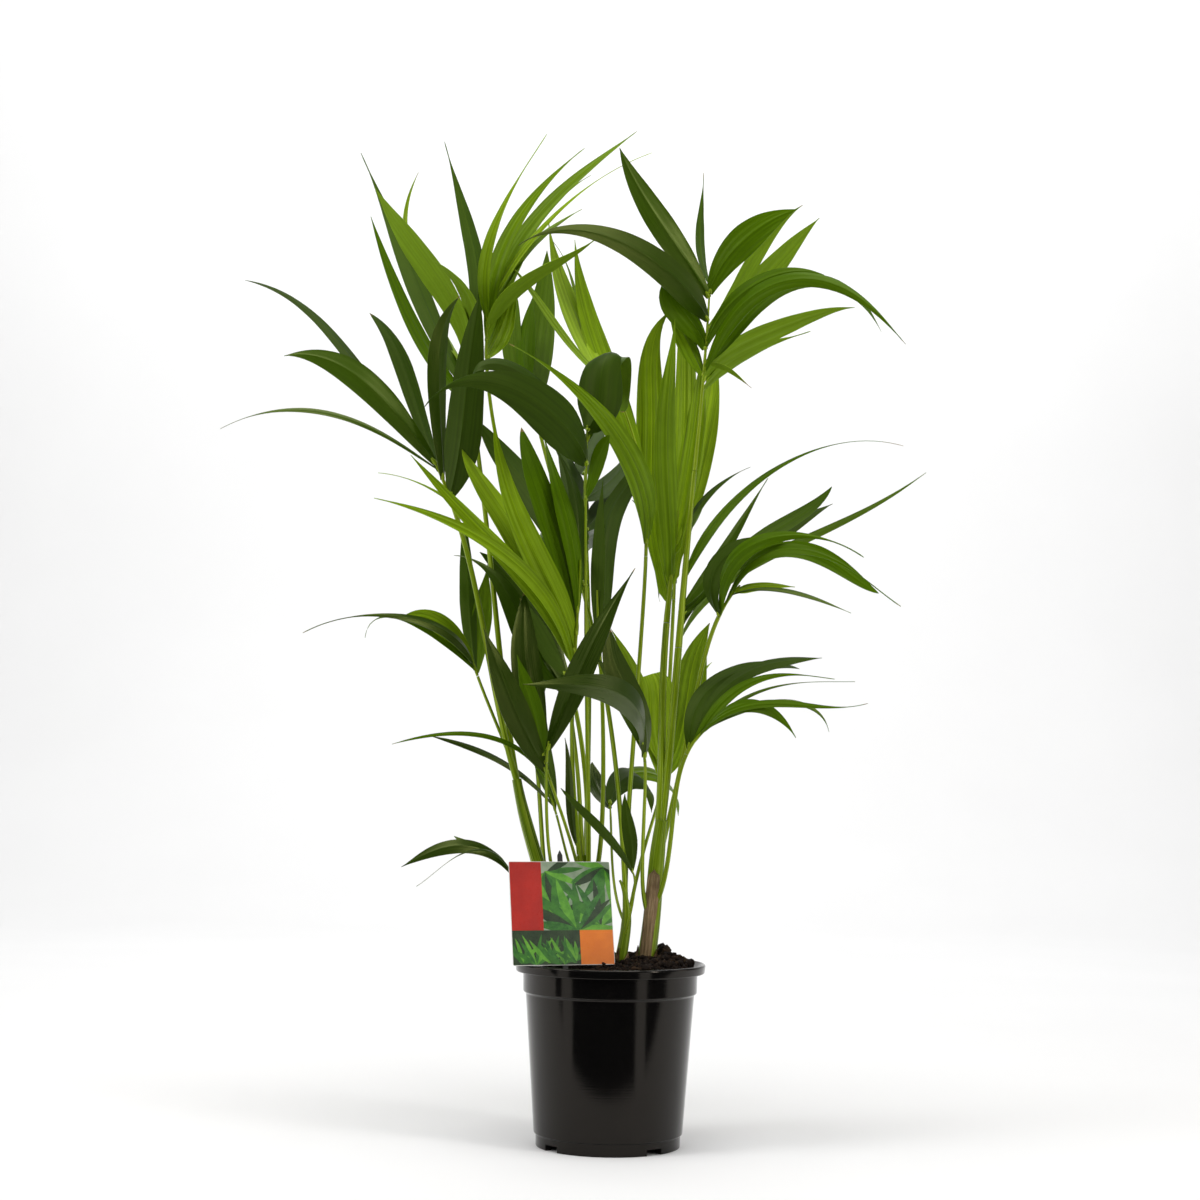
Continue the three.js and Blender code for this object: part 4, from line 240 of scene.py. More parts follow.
     'droop': (-60.4, 7.1, 54.2), 'sweep': (120.1, -39.3, -169.5), 'blade': 0.833, 'radius': (1.3, 1.1, 0.7), 'leaflets': [
         (0.921, 241.8, 43.5, 129.5, 20.4, -12.1, -9.1, -38.5, -4.4, 8, 10, -143.8, -52.1, 0.5, 0.77, 'dark_d'),
         (0.950, 270.5, 75.8, 78.2, 17.5, -12.7, -20.5, -65.7, -16.9, 6.5, 14.7, -160.8, -13.9, 0.44, 1, 'dark_d'),
     ]},
    {'name': 'frond_low_single', 'stem': 'stem_middle', 'tone': 'dark', 'foot': (-25.2, 18.1, 245.6), 'azimuth': -106, 'rise': 36.87, 'length': 62,
     'droop': (-65.7, -4.9, 25.2), 'sweep': (-17.8, -15.9, -6.4), 'blade': 0.771, 'radius': (1.5, 1.2, 0.7), 'leaflets': [
         (0.914, 238.3, 59.7, 114.4, -28.3, 0.6, 15.4, 69, -20.1, -63.4, 9.8, -150.2, -12.6, 0.39, 1, 'dark_a'),
     ]},
    {'name': 'frond_rear_centre', 'stem': 'stem_middle', 'tone': 'mid', 'foot': (-24.5, 18.6, 239.3), 'azimuth': 98.64, 'rise': 57.99, 'length': 492.8,
     'droop': (-64.3, 58.9, -0.7), 'sweep': (-94, 250.9, -164.5), 'blade': 0.771, 'radius': (2.6, 1.9, 0.9), 'leaflets': [
         (0.799, 96.8, 25.9, 154.6, 11.9, 58.8, -25.9, -51.5, -6.3, 44.8, 28.4, 176.9, 42.8, 0.45, 1.3, 'mid_a'),
         (0.811, 123.9, 34.8, 157.7, -24.3, -3, 37.2, -0.5, 21.3, 19.2, 30.8, -157.9, -18, 0.45, 1.3, 'mid_a'),
         (0.822, 105.3, 18.4, 160.3, -32.7, 99.1, 10.4, 70.5, -61, -48.7, 35.2, -165.2, -51.1, 0.51, 0.77, 'mid_b'),
         (0.845, 70.3, 27.6, 155.3, -10, -19.8, 47, -3.2, -11.7, -14.4, 31, 165.3, 15.9, 0.45, 1.3, 'dark_d'),
         (0.868, 105.8, 38.4, 176.5, -11.8, -25.7, 36.4, -9.6, 6.8, 40.7, 28.1, -159.8, 3.6, 0.39, 2.2, 'dark_d'),
         (0.920, 64.4, 22.9, 161.8, -5.3, -21.6, 2.4, -4.1, -0.8, 28.5, 27, 166.5, 19.5, 0.21, 1.69, 'dark_d'),
         (0.989, 93.8, 35.4, 160.9, 2.9, 14.9, -18.9, -22.4, -45, 62.6, 31.5, 166.9, -5.3, 0.45, 1.3, 'dark_d'),
     ]},
    {'name': 'frond_rear_right', 'stem': 'stem_right', 'tone': 'mid', 'foot': (43.5, 0, 261.1), 'azimuth': 84.34, 'rise': 43.82, 'length': 422.9,
     'droop': (-69.5, -27.8, 80.8), 'sweep': (1.4, -69.9, 79.1), 'blade': 0.771, 'radius': (2.6, 1.9, 0.9), 'leaflets': [
         (0.817, 83, 36.9, 150.9, 102.9, 6.8, -53.2, 85.7, -100.9, 8.2, 20.3, -17.5, -78.2, 0.21, 1.3, 'mid_a'),
         (0.822, 112.3, 37.5, 141.1, -27.8, -25.1, 61.2, -27.2, 9.6, 62.7, 30.5, -160.2, 1.8, 0.45, 1, 'mid_b'),
         (0.880, 92.6, 12.3, 175.7, -5.2, -128.7, 161.1, 0.5, -11.3, 20.7, 28.4, -169.8, 15.6, 0.45, 1.3, 'mid_a'),
         (0.914, 87.2, 34.9, 154, 9.7, 14.3, -31.4, -32.8, -34.9, 64.5, 25.2, 164.8, 5.9, 0.45, 1, 'mid_b'),
         (0.920, 100.5, 38.3, 176.9, -4.9, -14.9, 4.3, 0.2, 0.1, 2.1, 30.9, -162.8, 6.7, 0.45, 1.3, 'mid_a'),
         (1.000, 78.2, 34.3, 167.1, -1.9, -5.1, 4, 6, 9.4, -12.9, 31.2, 161.4, -13.8, 0.45, 1.3, 'mid_b'),
     ]},
    {'name': 'frond_rear_left', 'stem': 'stem_left', 'tone': 'mid', 'foot': (-54.4, 10.7, 204.2), 'azimuth': 123.7, 'rise': 49.55, 'length': 328.6,
     'droop': (-140.4, 240.8, -117.8), 'sweep': (-136, 364.7, -288.8), 'blade': 0.812, 'radius': (2.6, 1.9, 0.9), 'leaflets': [
         (0.855, 104.7, 33.8, 119.5, -8.4, -13.1, 2.4, -1.5, -6.4, -2.2, 27.5, -159.2, 9.7, 0.39, 1.3, 'mid_b'),
         (0.883, 101.9, 17.8, 124.7, 142.4, -83.5, -22.8, -41.9, 23.2, 8.7, 25.1, 17.4, 32.1, 0.45, 1.3, 'mid_b'),
         (0.897, 55.9, 6.2, 109, 101, -29.3, -35.3, 161.7, -110.5, -75.9, 21.9, -16.5, -36.9, 0.45, 1.3, 'mid_a'),
         (0.948, 78.9, 8.2, 126.9, -38.7, -78, 148.7, -0.2, 4.1, -13.7, 27.8, 168.3, -0.1, 0.45, 1.3, 'mid_a'),
         (0.963, 92.2, 27.7, 144.9, -2.9, -8.3, 0.9, -2.3, -6.6, 0.4, 27.9, 166.1, -21.9, 0.45, 1.3, 'mid_a'),
     ]},
]


# ------------------------------------------------------------------ curves
def heading(a, e):
    return np.stack([np.cos(e) * np.cos(a), np.cos(e) * np.sin(a), np.sin(e)], -1)


def limb(foot, azimuth, rise, length, droop, sweep, steps):
    """Points, azimuths and rises of a curve that bends by polynomials of its travel."""
    def angles(u):
        a = azimuth + sum(b * u ** (k + 1) for k, b in enumerate(sweep))
        e = rise - sum(b * u ** (k + 1) for k, b in enumerate(droop))
        return np.radians(a), np.radians(e)
    u = np.linspace(0, 1, steps + 1)
    am, em = angles((u[1:] + u[:-1]) / 2)
    walk = heading(am, em) * length / steps
    points = np.vstack([np.array(foot, float), np.array(foot, float) + np.cumsum(walk, 0)])
    a, e = angles(u)
    return points, a, e


def along(line, u):
    points, a, e = line
    s = np.linspace(0, 1, len(points))
    u = np.atleast_1d(u)
    p = np.stack([np.interp(u, s, points[:, k]) for k in range(3)], -1)
    return p, np.interp(u, s, a), np.interp(u, s, e)


def outline(u, peak, taper):
    """Share of the full width at u."""
    near = FOOT + (1 - FOOT) * (1 - np.clip((peak - u) / peak, 0, 1) ** 1.8)
    v = np.clip((u - peak) / (1 - peak), 0, 1)
    return np.where(u < peak, near, (1 - v * v) ** taper)


def unit(v):
    return v / np.maximum(np.linalg.norm(v, axis=-1, keepdims=True), 1e-12)


def wobble(t, seed, terms=4):
    """A smooth repeatable wave of t, about -1 to 1."""
    r = np.random.default_rng(seed)
    return sum(np.sin(2 * np.pi * (r.uniform(0.6, 1.4) * (k + 1) * t + r.random())) / (k + 1.5)
               for k in range(terms)) / 1.3


# ------------------------------------------------------------------ meshes
class Build:
    """Collects grids and tubes, then makes one mesh object of them."""

    def __init__(self, name, materials):
        self.name = name
        self.materials = materials
        self.slot = {m.name: i for i, m in enumerate(materials)}
        self.v, self.f, self.m, self.uv, self.place = [], [], [], [], []
        self.n = 0

    def add(self, verts, faces, material, uv=None, place=None):
        verts = np.asarray(verts, float)
        self.v.append(verts)
        uv = np.zeros((len(verts), 2)) if uv is None else np.asarray(uv, float)
        place = np.zeros((len(verts), 2)) if place is None else np.asarray(place, float)
        for k, f in enumerate(faces):
            self.f.append([int(i) + self.n for i in f])
            self.m.append(self.slot[material if isinstance(material, str) else material[k]])
        self.uv.append(uv)
        self.place.append(place)
        self.n += len(verts)

    def finish(self, sharp=50):
        me = bpy.data.meshes.new(self.name)
        v = np.vstack(self.v) * MM
        me.from_pydata(v.tolist(), [], self.f)
        for m in self.materials:
            me.materials.append(m)
        me.polygons.foreach_set("material_index", np.array(self.m, np.int32))
        loops = np.empty(len(me.loops), np.int32)
        me.loops.foreach_get("vertex_index", loops)
        for title, rows in (("blade", self.uv), ("place", self.place)):
            layer = me.uv_layers.new(name=title)
            layer.uv.foreach_set("vector", np.vstack(rows)[loops].astype(np.float32).ravel())
        me.polygons.foreach_set("use_smooth", np.ones(len(me.polygons), bool))
        me.set_sharp_from_angle(angle=math.radians(sharp))
        me.validate()
        me.update()
        ob = bpy.data.objects.new(self.name, me)
        ob.cycles.shadow_terminator_geometry_offset = 0.0     # thin shells: no shadow ray leaves through the far side
        bpy.context.scene.collection.objects.link(ob)
        return ob


def grid_faces(rows, columns, start=0, wrap=False):
    out = []
    span = columns if wrap else columns + 1
    for i in range(rows):
        for j in range(columns):
            a = start + i * span + j
            b = start + i * span + (j + 1) % span
            out.append((a, a + span, b + span, b))
    return out


def tube(build, points, radii, sides, material, seed=0, flute=0.0, flat=0.0, up=(0, 0, 1), cap=True):
    """A closed round limb. flute raises lengthwise ridges, flat presses its upper face."""
    p = np.asarray(points, float)
    r = np.asarray(radii, float)
    t = unit(np.gradient(p, axis=0))
    s = unit(np.cross(t, np.array((0.0, -1.0, 0.0))))
    n = np.cross(s, t)
    ring = np.arange(sides) / sides * 2 * np.pi
    shape = np.ones((len(p), sides))
    if flute:
        shape += flute * np.cos(ring * round(sides / 4) + seed)[None]
    if flat:
        w = np.asarray(up, float)
        facing = np.cos(ring)[None, :, None] * s[:, None] + np.sin(ring)[None, :, None] * n[:, None]
        top = np.clip((facing @ w) - 0.2, 0, 1)
        shape -= flat * top
    q = p[:, None] + (np.cos(ring)[None, :, None] * s[:, None] + np.sin(ring)[None, :, None] * n[:, None]) * (r[:, None] * shape)[..., None]
    verts = q.reshape(-1, 3)
    rows = len(p) - 1
    faces = []
    for i in range(rows):
        for j in range(sides):
            a, b = i * sides + j, i * sides + (j + 1) % sides
            faces.append((a, b, b + sides, a + sides))
    length = np.concatenate([[0], np.cumsum(np.linalg.norm(np.diff(p, axis=0), axis=1))])
    rnd = np.random.default_rng(seed)
    off = rnd.uniform(0, 40, 2)
    fold = np.abs(ring / np.pi - 1)          # meets itself, so no seam shows
    uv = np.stack([np.broadcast_to(fold[None] * np.pi * r.mean() / 10, (len(p), sides)) + off[0],
                   np.broadcast_to(length[:, None] / 10, (len(p), sides)) + off[1]], -1).reshape(-1, 2)
    place = np.stack([np.broadcast_to(fold[None], (len(p), sides)),
                      np.broadcast_to((length / length[-1])[:, None], (len(p), sides))], -1).reshape(-1, 2)
    if cap:
        k = len(verts)
        verts = np.vstack([verts, p[0], p[-1]])
        uv = np.vstack([uv, uv[0], uv[-1]])
        place = np.vstack([place, place[0], place[-1]])
        for j in range(sides):
            faces.append((k, (j + 1) % sides, j))
            base = rows * sides
            faces.append((k + 1, base + j, base + (j + 1) % sides))
    # the ring runs from side towards n, so its faces look outwards as t is s x n reversed
    if np.dot(np.cross(q[0, 1] - q[0, 0], q[1, 0] - q[0, 0]), q[0, 0] - p[0]) < 0:
        faces = [f[::-1] for f in faces]
    build.add(verts, faces, material, uv, place)


def blade(build, foot, row, tone, seed, extra):
    """One leaflet: a thin closed shell, roofed along its midrib, with lengthwise pleats."""
    azimuth, rise, length = row[1:4]
    width, side_azimuth, side_rise, peak, taper = row[10:15]
    peak, taper = extra.get("peak", peak), extra.get("taper", taper)
    r = np.random.default_rng(seed)
    line = limb(foot, azimuth, rise, length, row[4:7], row[7:10], LEAF_STEPS)
    rows, columns = LEAF_ROWS, LEAF_COLUMNS
    if length < 120:
        rows = 20
    if width < 18:
        columns = 16
    s = np.linspace(0, 1, rows + 1)
    u = 1 - (1 - s) ** 1.12
    cut = extra.get("cut", 1.0)
    u = u * cut
    p, a, e = along(line, u)
    t = heading(a, e)
    s0 = heading(np.radians(side_azimuth), np.radians(side_rise))
    side = unit(s0[None] - t * (t @ s0)[:, None])
    n = np.cross(t, side)
    w = width * outline(u, peak, taper)
    if "foot" in extra:           # a leaflet with a broader insertion
        w = np.maximum(w, width * extra["foot"] * (1 - u / peak) * (u < peak) * np.minimum(1, 0.4 + u / 0.06))
    w = np.maximum(w, np.where(u < 0.985 * cut, min(1.3, 0.05 * width + 0.3), 0.6))
    x = np.linspace(-1, 1, columns + 1)
    fold = extra.get("fold", r.uniform(0.16, 0.26)) * (1 - 0.45 * u) + 0.12 * np.exp(-u / 0.08)
    cup = extra.get("cup", r.uniform(-0.05, 0.07))
    ridges = max(2, int(round(width / 7.5)))
    relief = extra.get("relief", {"dark": 0.12, "mid": 0.5, "light": 1.0}[tone.split("_")[0]])
    amp = relief * np.minimum(0.012 * w, 0.34) * (1 - u ** 6)
    ax = np.abs(x)
    z = -fold[:, None] * ax[None] * w[:, None] / 2 + fold[:, None] * w[:, None] / 4
    z = z + cup * (x[None] ** 2 - 0.33) * w[:, None]
    z = z + amp[:, None] * np.cos(np.pi * ridges * x)[None]
    z = z + (0.45 + 0.02 * width) * 0.55 * np.exp(-(x[None] * w[:, None] / 2 / 0.9) ** 2) * (1 - u[:, None])
    ruffle = 0.02 * width * np.sin(np.pi * np.clip(u, 0, 1))
    z = z + (ruffle * wobble(u * 1.6, seed + 1))[:, None] * np.clip(x, 0, 1)[None] ** 2
    z = z + (ruffle * wobble(u * 1.6, seed + 2))[:, None] * np.clip(-x, 0, 1)[None] ** 2
    curl = extra.get("curl", 0.0)
    half = w[:, None] / 2 * x[None]
    if curl:                      # edges rolled in towards the tip
        turn = curl * np.clip((u - 0.5) / 0.5, 0, 1)[:, None] * ax[None]
        z = z - np.abs(half) * np.sin(turn)
        half = half * np.cos(turn)
    top = p[:, None] + side[:, None] * half[..., None] + n[:, None] * z[..., None]
    thick = (0.55 - 0.2 * ax)[None] * np.minimum(1, w[:, None] / 4) + 0.12
    keel = 0.7 * np.exp(-(x[None] * w[:, None] / 2 / 0.8) ** 2) * (1 - u[:, None])
    low = top - n[:, None] * (thick + keel)[..., None]
    count = (rows + 1) * (columns + 1)
    verts = np.vstack([top.reshape(-1, 3), low.reshape(-1, 3)])
    faces, mats = [], []
    up, under, tip = "leaf_" + tone, "under_" + tone.split("_")[0], "leaf_dry"
    brown = extra.get("dry", r.uniform(0.008, 0.03) if r.random() < 0.4 else 0.0)
    span = columns + 1
    def face(f, kind, i):
        faces.append(f)
        mats.append(tip if brown and u[min(i, rows)] > cut - brown * (1.0 + 0.35 * math.sin(len(faces) * 1.7)) else kind)
    for i in range(rows):
        for j in range(columns):
            q = i * span + j
            face((q, q + span, q + span + 1, q + 1), up, i)
            q += count
            face((q, q + 1, q + span + 1, q + span), under, i)
        q = i * span
        face((q + count, q + span + count, q + span, q), up, i)
        q += columns
        face((q, q + span, q + span + count, q + count), up, i)
    for j in range(columns):
        face((j, j + 1, j + 1 + count, j + count), up, 0)
        q = rows * span + j
        face((q + count, q + 1 + count, q + 1, q), up, rows)
    off = r.uniform(0, 60, 2)
    uv = np.stack([half / 10 + off[0], np.broadcast_to(u[:, None] * length / 10, half.shape) + off[1]], -1).reshape(-1, 2)
    place = np.stack([np.broadcast_to(x[None] / 2 + 0.5, half.shape), np.broadcast_to(u[:, None], half.shape)], -1).reshape(-1, 2)
    build.add(verts, faces, mats, np.vstack([uv, uv]), np.vstack([place, place]))
    # the swollen joint where it leaves the rib
    k, _, _ = along(line, np.array([0.0, 0.35, 0.8, 1.0]) * min(9.0, 0.05 * length) / length)
    b = FOOT * width / 2
    tube(build, k, [min(b * 0.75, 2.6), min(b * 0.8, 2.7), min(b * 0.45, 1.5), 0.4], 8, "joint", seed)


# ------------------------------------------------------------------ materials
class Graph:
    def __init__(self, name):
        self.material = bpy.data.materials.new(name)
        self.material.use_nodes = True
        self.tree = self.material.node_tree
        self.tree.nodes.clear()
        out = self.node("ShaderNodeOutputMaterial")
        self.bsdf = self.node("ShaderNodeBsdfPrincipled")
        self.link(self.bsdf.outputs[0], out.inputs[0])

    def node(self, kind, **given):
        n = self.tree.nodes.new(kind)
        for k, v in given.items():
            setattr(n, k, v)
        return n

    def link(self, a, b):
        self.tree.links.new(a, b)

    def put(self, socket, value):
        if isinstance(value, bpy.types.NodeSocket):
            self.link(value, socket)
        else:
            socket.default_value = value

    def object(self):
        return self.node("ShaderNodeTexCoord").outputs["Object"]

    def uv(self, name):
        return self.node("ShaderNodeUVMap", uv_map=name).outputs[0]

    def scaled(self, vector, scale):
        n = self.node("ShaderNodeMapping")
        self.link(vector, n.inputs["Vector"])
        n.inputs["Scale"].default_value = scale
        return n.outputs[0]

    def noise(self, vector, scale, detail=3.0, rough=0.55, warp=0.0):
        n = self.node("ShaderNodeTexNoise")
        self.link(vector, n.inputs["Vector"])
        n.inputs["Scale"].default_value = scale
        n.inputs["Detail"].default_value = detail
        n.inputs["Roughness"].default_value = rough
        n.inputs["Distortion"].default_value = warp
        return n.outputs["Fac"]

    def cells(self, vector, scale, kind="F1"):
        n = self.node("ShaderNodeTexVoronoi", feature=kind)
        self.link(vector, n.inputs["Vector"])
        n.inputs["Scale"].default_value = scale
        return n.outputs["Distance"]

    def ramp(self, value, stops, mode="LINEAR"):
        n = self.node("ShaderNodeValToRGB")
        self.link(value, n.inputs[0])
        n.color_ramp.interpolation = mode
        points = n.color_ramp.elements
        while len(points) < len(stops):
            points.new(0.5)
        for point, (at, colour) in zip(points, stops):
            point.position = at
            point.color = (*colour, 1.0) if isinstance(colour, tuple) else (colour, colour, colour, 1.0)
        return n.outputs[0]

    def mix(self, share, a, b, blend="MIX"):
        n = self.node("ShaderNodeMix", data_type="RGBA", blend_type=blend)
        self.put(n.inputs[0], share)
        self.put(n.inputs[6], a if isinstance(a, bpy.types.NodeSocket) else (*a, 1.0))
        self.put(n.inputs[7], b if isinstance(b, bpy.types.NodeSocket) else (*b, 1.0))
        return n.outputs[2]

    def math(self, kind, a, b=0.0, clamp=False):
        n = self.node("ShaderNodeMath", operation=kind, use_clamp=clamp)
        self.put(n.inputs[0], a)
        self.put(n.inputs[1], b)
        return n.outputs[0]

    def split(self, vector):
        n = self.node("ShaderNodeSeparateXYZ")
        self.link(vector, n.inputs[0])
        return n.outputs

    def range(self, value, a, b, c, d):
        n = self.node("ShaderNodeMapRange")
        self.put(n.inputs[0], value)
        for k, v in zip((1, 2, 3, 4), (a, b, c, d)):
            n.inputs[k].default_value = v
        return n.outputs[0]

    def bump(self, height, strength, distance):
        n = self.node("ShaderNodeBump")
        self.link(height, n.inputs["Height"])
        n.inputs["Strength"].default_value = strength
        n.inputs["Distance"].default_value = distance
        self.link(n.outputs[0], self.bsdf.inputs["Normal"])

    def set(self, **given):
        for k, v in given.items():
            self.put(self.bsdf.inputs[k.replace("_", " ")], v)


def srgb(r, g, b):
    def one(c):
        c = c / 255
        return c / 12.92 if c <= 0.04045 else ((c + 0.055) / 1.055) ** 2.4
    return (one(r), one(g), one(b))


def leaf_material(name, deep, body, streak, gloss, vein=0.5, rib=None, sheen=0.5, relief=0.12):
    """Lengthwise streaks and fine veins that follow the blade, a paler midrib, soft mottling."""
    g = Graph(name)
    blade_uv, place, spot = g.uv("blade"), g.uv("place"), g.object()
    broad = g.noise(g.scaled(blade_uv, (3.4, 0.03, 1.0)), 1.0, 2.0, 0.55)
    fine = g.noise(g.scaled(blade_uv, (15.0, 0.07, 1.0)), 1.0, 2.0, 0.5)
    mottle = g.noise(spot, 17.0, 3.0, 0.6)
    colour = g.ramp(broad, [(0.30, deep), (0.52, body), (0.80, streak)])
    colour = g.mix(g.range(fine, 0.42, 0.66, 0.0, vein), colour, streak)
    colour = g.mix(g.range(mottle, 0.38, 0.72, 0.0, 0.4), colour, deep)
    across = g.split(place)
    middle = g.math("ABSOLUTE", g.math("SUBTRACT", across[0], 0.5))
    if rib:
        colour = g.mix(g.range(middle, 0.003, 0.016, 0.42, 0.0), colour, rib)
    edge = g.range(middle, 0.485, 0.5, 0.0, 0.3)
    colour = g.mix(edge, colour, streak)
    g.set(Base_Color=colour,
          Roughness=g.range(g.math("ADD", g.math("MULTIPLY", fine, 0.5), g.math("MULTIPLY", mottle, 0.5)), 0.3, 0.7, gloss - 0.02, gloss + 0.15))
    g.bump(g.math("ADD", g.math("MULTIPLY", fine, 0.25), g.math("MULTIPLY", broad, 0.6)), relief, 0.0003)
    g.set(IOR=1.42, Specular_IOR_Level=sheen, Specular_Tint=(0.86, 0.97, 0.3, 1.0))
    return g.material


def stalk_material(name, body, pale, dark, gloss=0.27):
    g = Graph(name)
    uv, spot = g.uv("blade"), g.object()
    streak = g.noise(g.scaled(uv, (6.0, 0.05, 1.0)), 1.0, 3.0, 0.6)
    drift = g.noise(spot, 9.0, 2.0)
    specks = g.noise(spot, 420.0, 2.0)
    colour = g.ramp(streak, [(0.34, dark), (0.5, body), (0.66, pale)])
    colour = g.mix(g.range(drift, 0.4, 0.75, 0.0, 0.4), colour, body)
    colour = g.mix(g.range(specks, 0.68, 0.76, 0.0, 0.25), colour, srgb(96, 78, 30))
    g.set(Base_Color=colour, Roughness=g.range(streak, 0.3, 0.7, gloss - 0.06, gloss + 0.12), IOR=1.42,
          Specular_IOR_Level=0.5, Specular_Tint=(0.9, 1.0, 0.5, 1.0))
    g.bump(streak, 0.3, 0.0005)
    return g.material


def dry_material(name, a, b, c, gloss=0.75):
    g = Graph(name)
    uv, spot = g.uv("blade"), g.object()
    streak = g.noise(g.scaled(uv, (10.0, 0.35, 1.0)), 1.0, 4.0, 0.65)
    blot = g.noise(spot, 60.0, 3.0)
    colour = g.ramp(streak, [(0.3, a), (0.52, b), (0.72, c)])
    colour = g.mix(g.range(blot, 0.4, 0.68, 0.0, 0.6), colour, a)
    g.set(Base_Color=colour, Roughness=g.range(blot, 0.3, 0.7, gloss - 0.1, gloss + 0.12))
    g.bump(streak, 0.7, 0.0008)
    return g.material


LEAF = {}
for tone, green, red, blue, gloss, vein in [
    ("dark_a", 0.038, 0.41, 0.018, 0.24, 0.20),
    ("dark_b", 0.054, 0.43, 0.018, 0.25, 0.22),
    ("dark_c", 0.077, 0.45, 0.018, 0.27, 0.26),
    ("dark_d", 0.052, 0.44, 0.020, 0.44, 0.42),
    ("dark_e", 0.082, 0.46, 0.020, 0.44, 0.42),
    ("mid_a", 0.088, 0.44, 0.008, 0.30, 0.34),
    ("mid_b", 0.121, 0.47, 0.008, 0.31, 0.40),
    ("light_a", 0.185, 0.53, 0.012, 0.32, 0.60),
    ("light_b", 0.245, 0.57, 0.012, 0.33, 0.64),
    ("light_c", 0.320, 0.61, 0.025, 0.34, 0.55),
]:
    body = (green * red, green, green * blue)
    kind = tone.split("_")[0]
    k = 1.0 if tone in ("dark_d", "dark_e") else {"dark": 0.6, "mid": 1.05, "light": 1.95}[kind]
    LEAF[tone] = leaf_material("leaf_" + tone, tuple(c * (1 - 0.24 * k) for c in body), body,
                               (body[0] * (1 + 0.42 * k), body[1] * (1 + 0.32 * k), body[2] * (1 + 0.8 * k)), gloss, vein,
                               rib=(body[0] * (1 + 0.6 * k), body[1] * (1 + 0.4 * k), body[2] * (1 + 0.9 * k)), sheen=0.24 if tone in ("dark_d", "dark_e") else {"dark": 0.66, "mid": 0.15, "light": 0.24}[kind],
                               relief={"dark": 0.06, "mid": 0.12, "light": 0.18}[kind])
UNDER = {}
for kind, green, red, blue, vein in [("dark", 0.088, 0.52, 0.08, 0.3), ("mid", 0.128, 0.52, 0.03, 0.36), ("light", 0.24, 0.57, 0.03, 0.42)]:
    body = (green * red, green, green * blue)
    UNDER[kind] = leaf_material("under_" + kind, tuple(c * 0.76 for c in body), body,
                                (body[0] * 1.3, body[1] * 1.24, body[2] * 1.5), 0.5, vein,
                                rib=(body[0] * 1.4, body[1] * 1.28, body[2] * 1.4), sheen=0.22)
dry = dry_material("leaf_dry", srgb(98, 74, 34), srgb(140, 112, 58), srgb(176, 150, 92))
joint = stalk_material("joint", srgb(126, 150, 18), srgb(156, 176, 50), srgb(80, 104, 6))
rib_green = stalk_material("rib_green", srgb(117, 139, 12), srgb(154, 174, 54), srgb(88, 112, 6))
stalk_green = stalk_material("stalk_green", srgb(112, 136, 6), srgb(158, 178, 56), srgb(68, 92, 2))
stem_green = stalk_material("stem_green", srgb(98, 124, 4), srgb(144, 164, 46), srgb(58, 80, 2))
sheath_brown = dry_material("sheath_brown", srgb(104, 82, 54), srgb(146, 120, 82), srgb(192, 170, 128), 0.6)
fibre = dry_material("fibre", srgb(70, 52, 28), srgb(112, 88, 50), srgb(146, 120, 76), 0.8)
LEAF_SET = list(LEAF.values()) + list(UNDER.values()) + [dry, joint, rib_green]

# ------------------------------------------------------------------ fronds
STALKS = {f["name"]: limb(f["foot"], f["azimuth"], f["rise"], f["length"], f["droop"], f["sweep"], STALK_STEPS) for f in FRONDS}
pieces = []
for k, f in enumerate(FRONDS):
    line = STALKS[f["name"]]
    spans = [(f["name"], f["blade"], 1.0)]
    if f.get("cut"):
        spans = [(f["name"], f["blade"], f["cut"] - JOINT_GAP / f["length"]), (f["above"], f["cut"], 1.0)]
    for name, a, b in spans:
        build = Build(name + "_leaves", LEAF_SET)
        u = np.linspace(a, b, 22)
        radius = f["radius"][1] + (f["radius"][2] - f["radius"][1]) * (u - f["blade"]) / (1 - f["blade"])
        p, _, _ = along(line, u)
        tube(build, p, radius, 10, "rib_green", seed=k)
        for i, row in enumerate(f["leaflets"]):
            if not a <= row[0] <= b:
                continue
            foot = along(line, row[0])[0][0]
            blade(build, foot, row, row[15], 1000 * k + 10 * i, row[16] if len(row) > 16 else {})
        ob = build.finish()
        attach(ob, "root")
        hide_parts(name)
        pieces.append(ob)

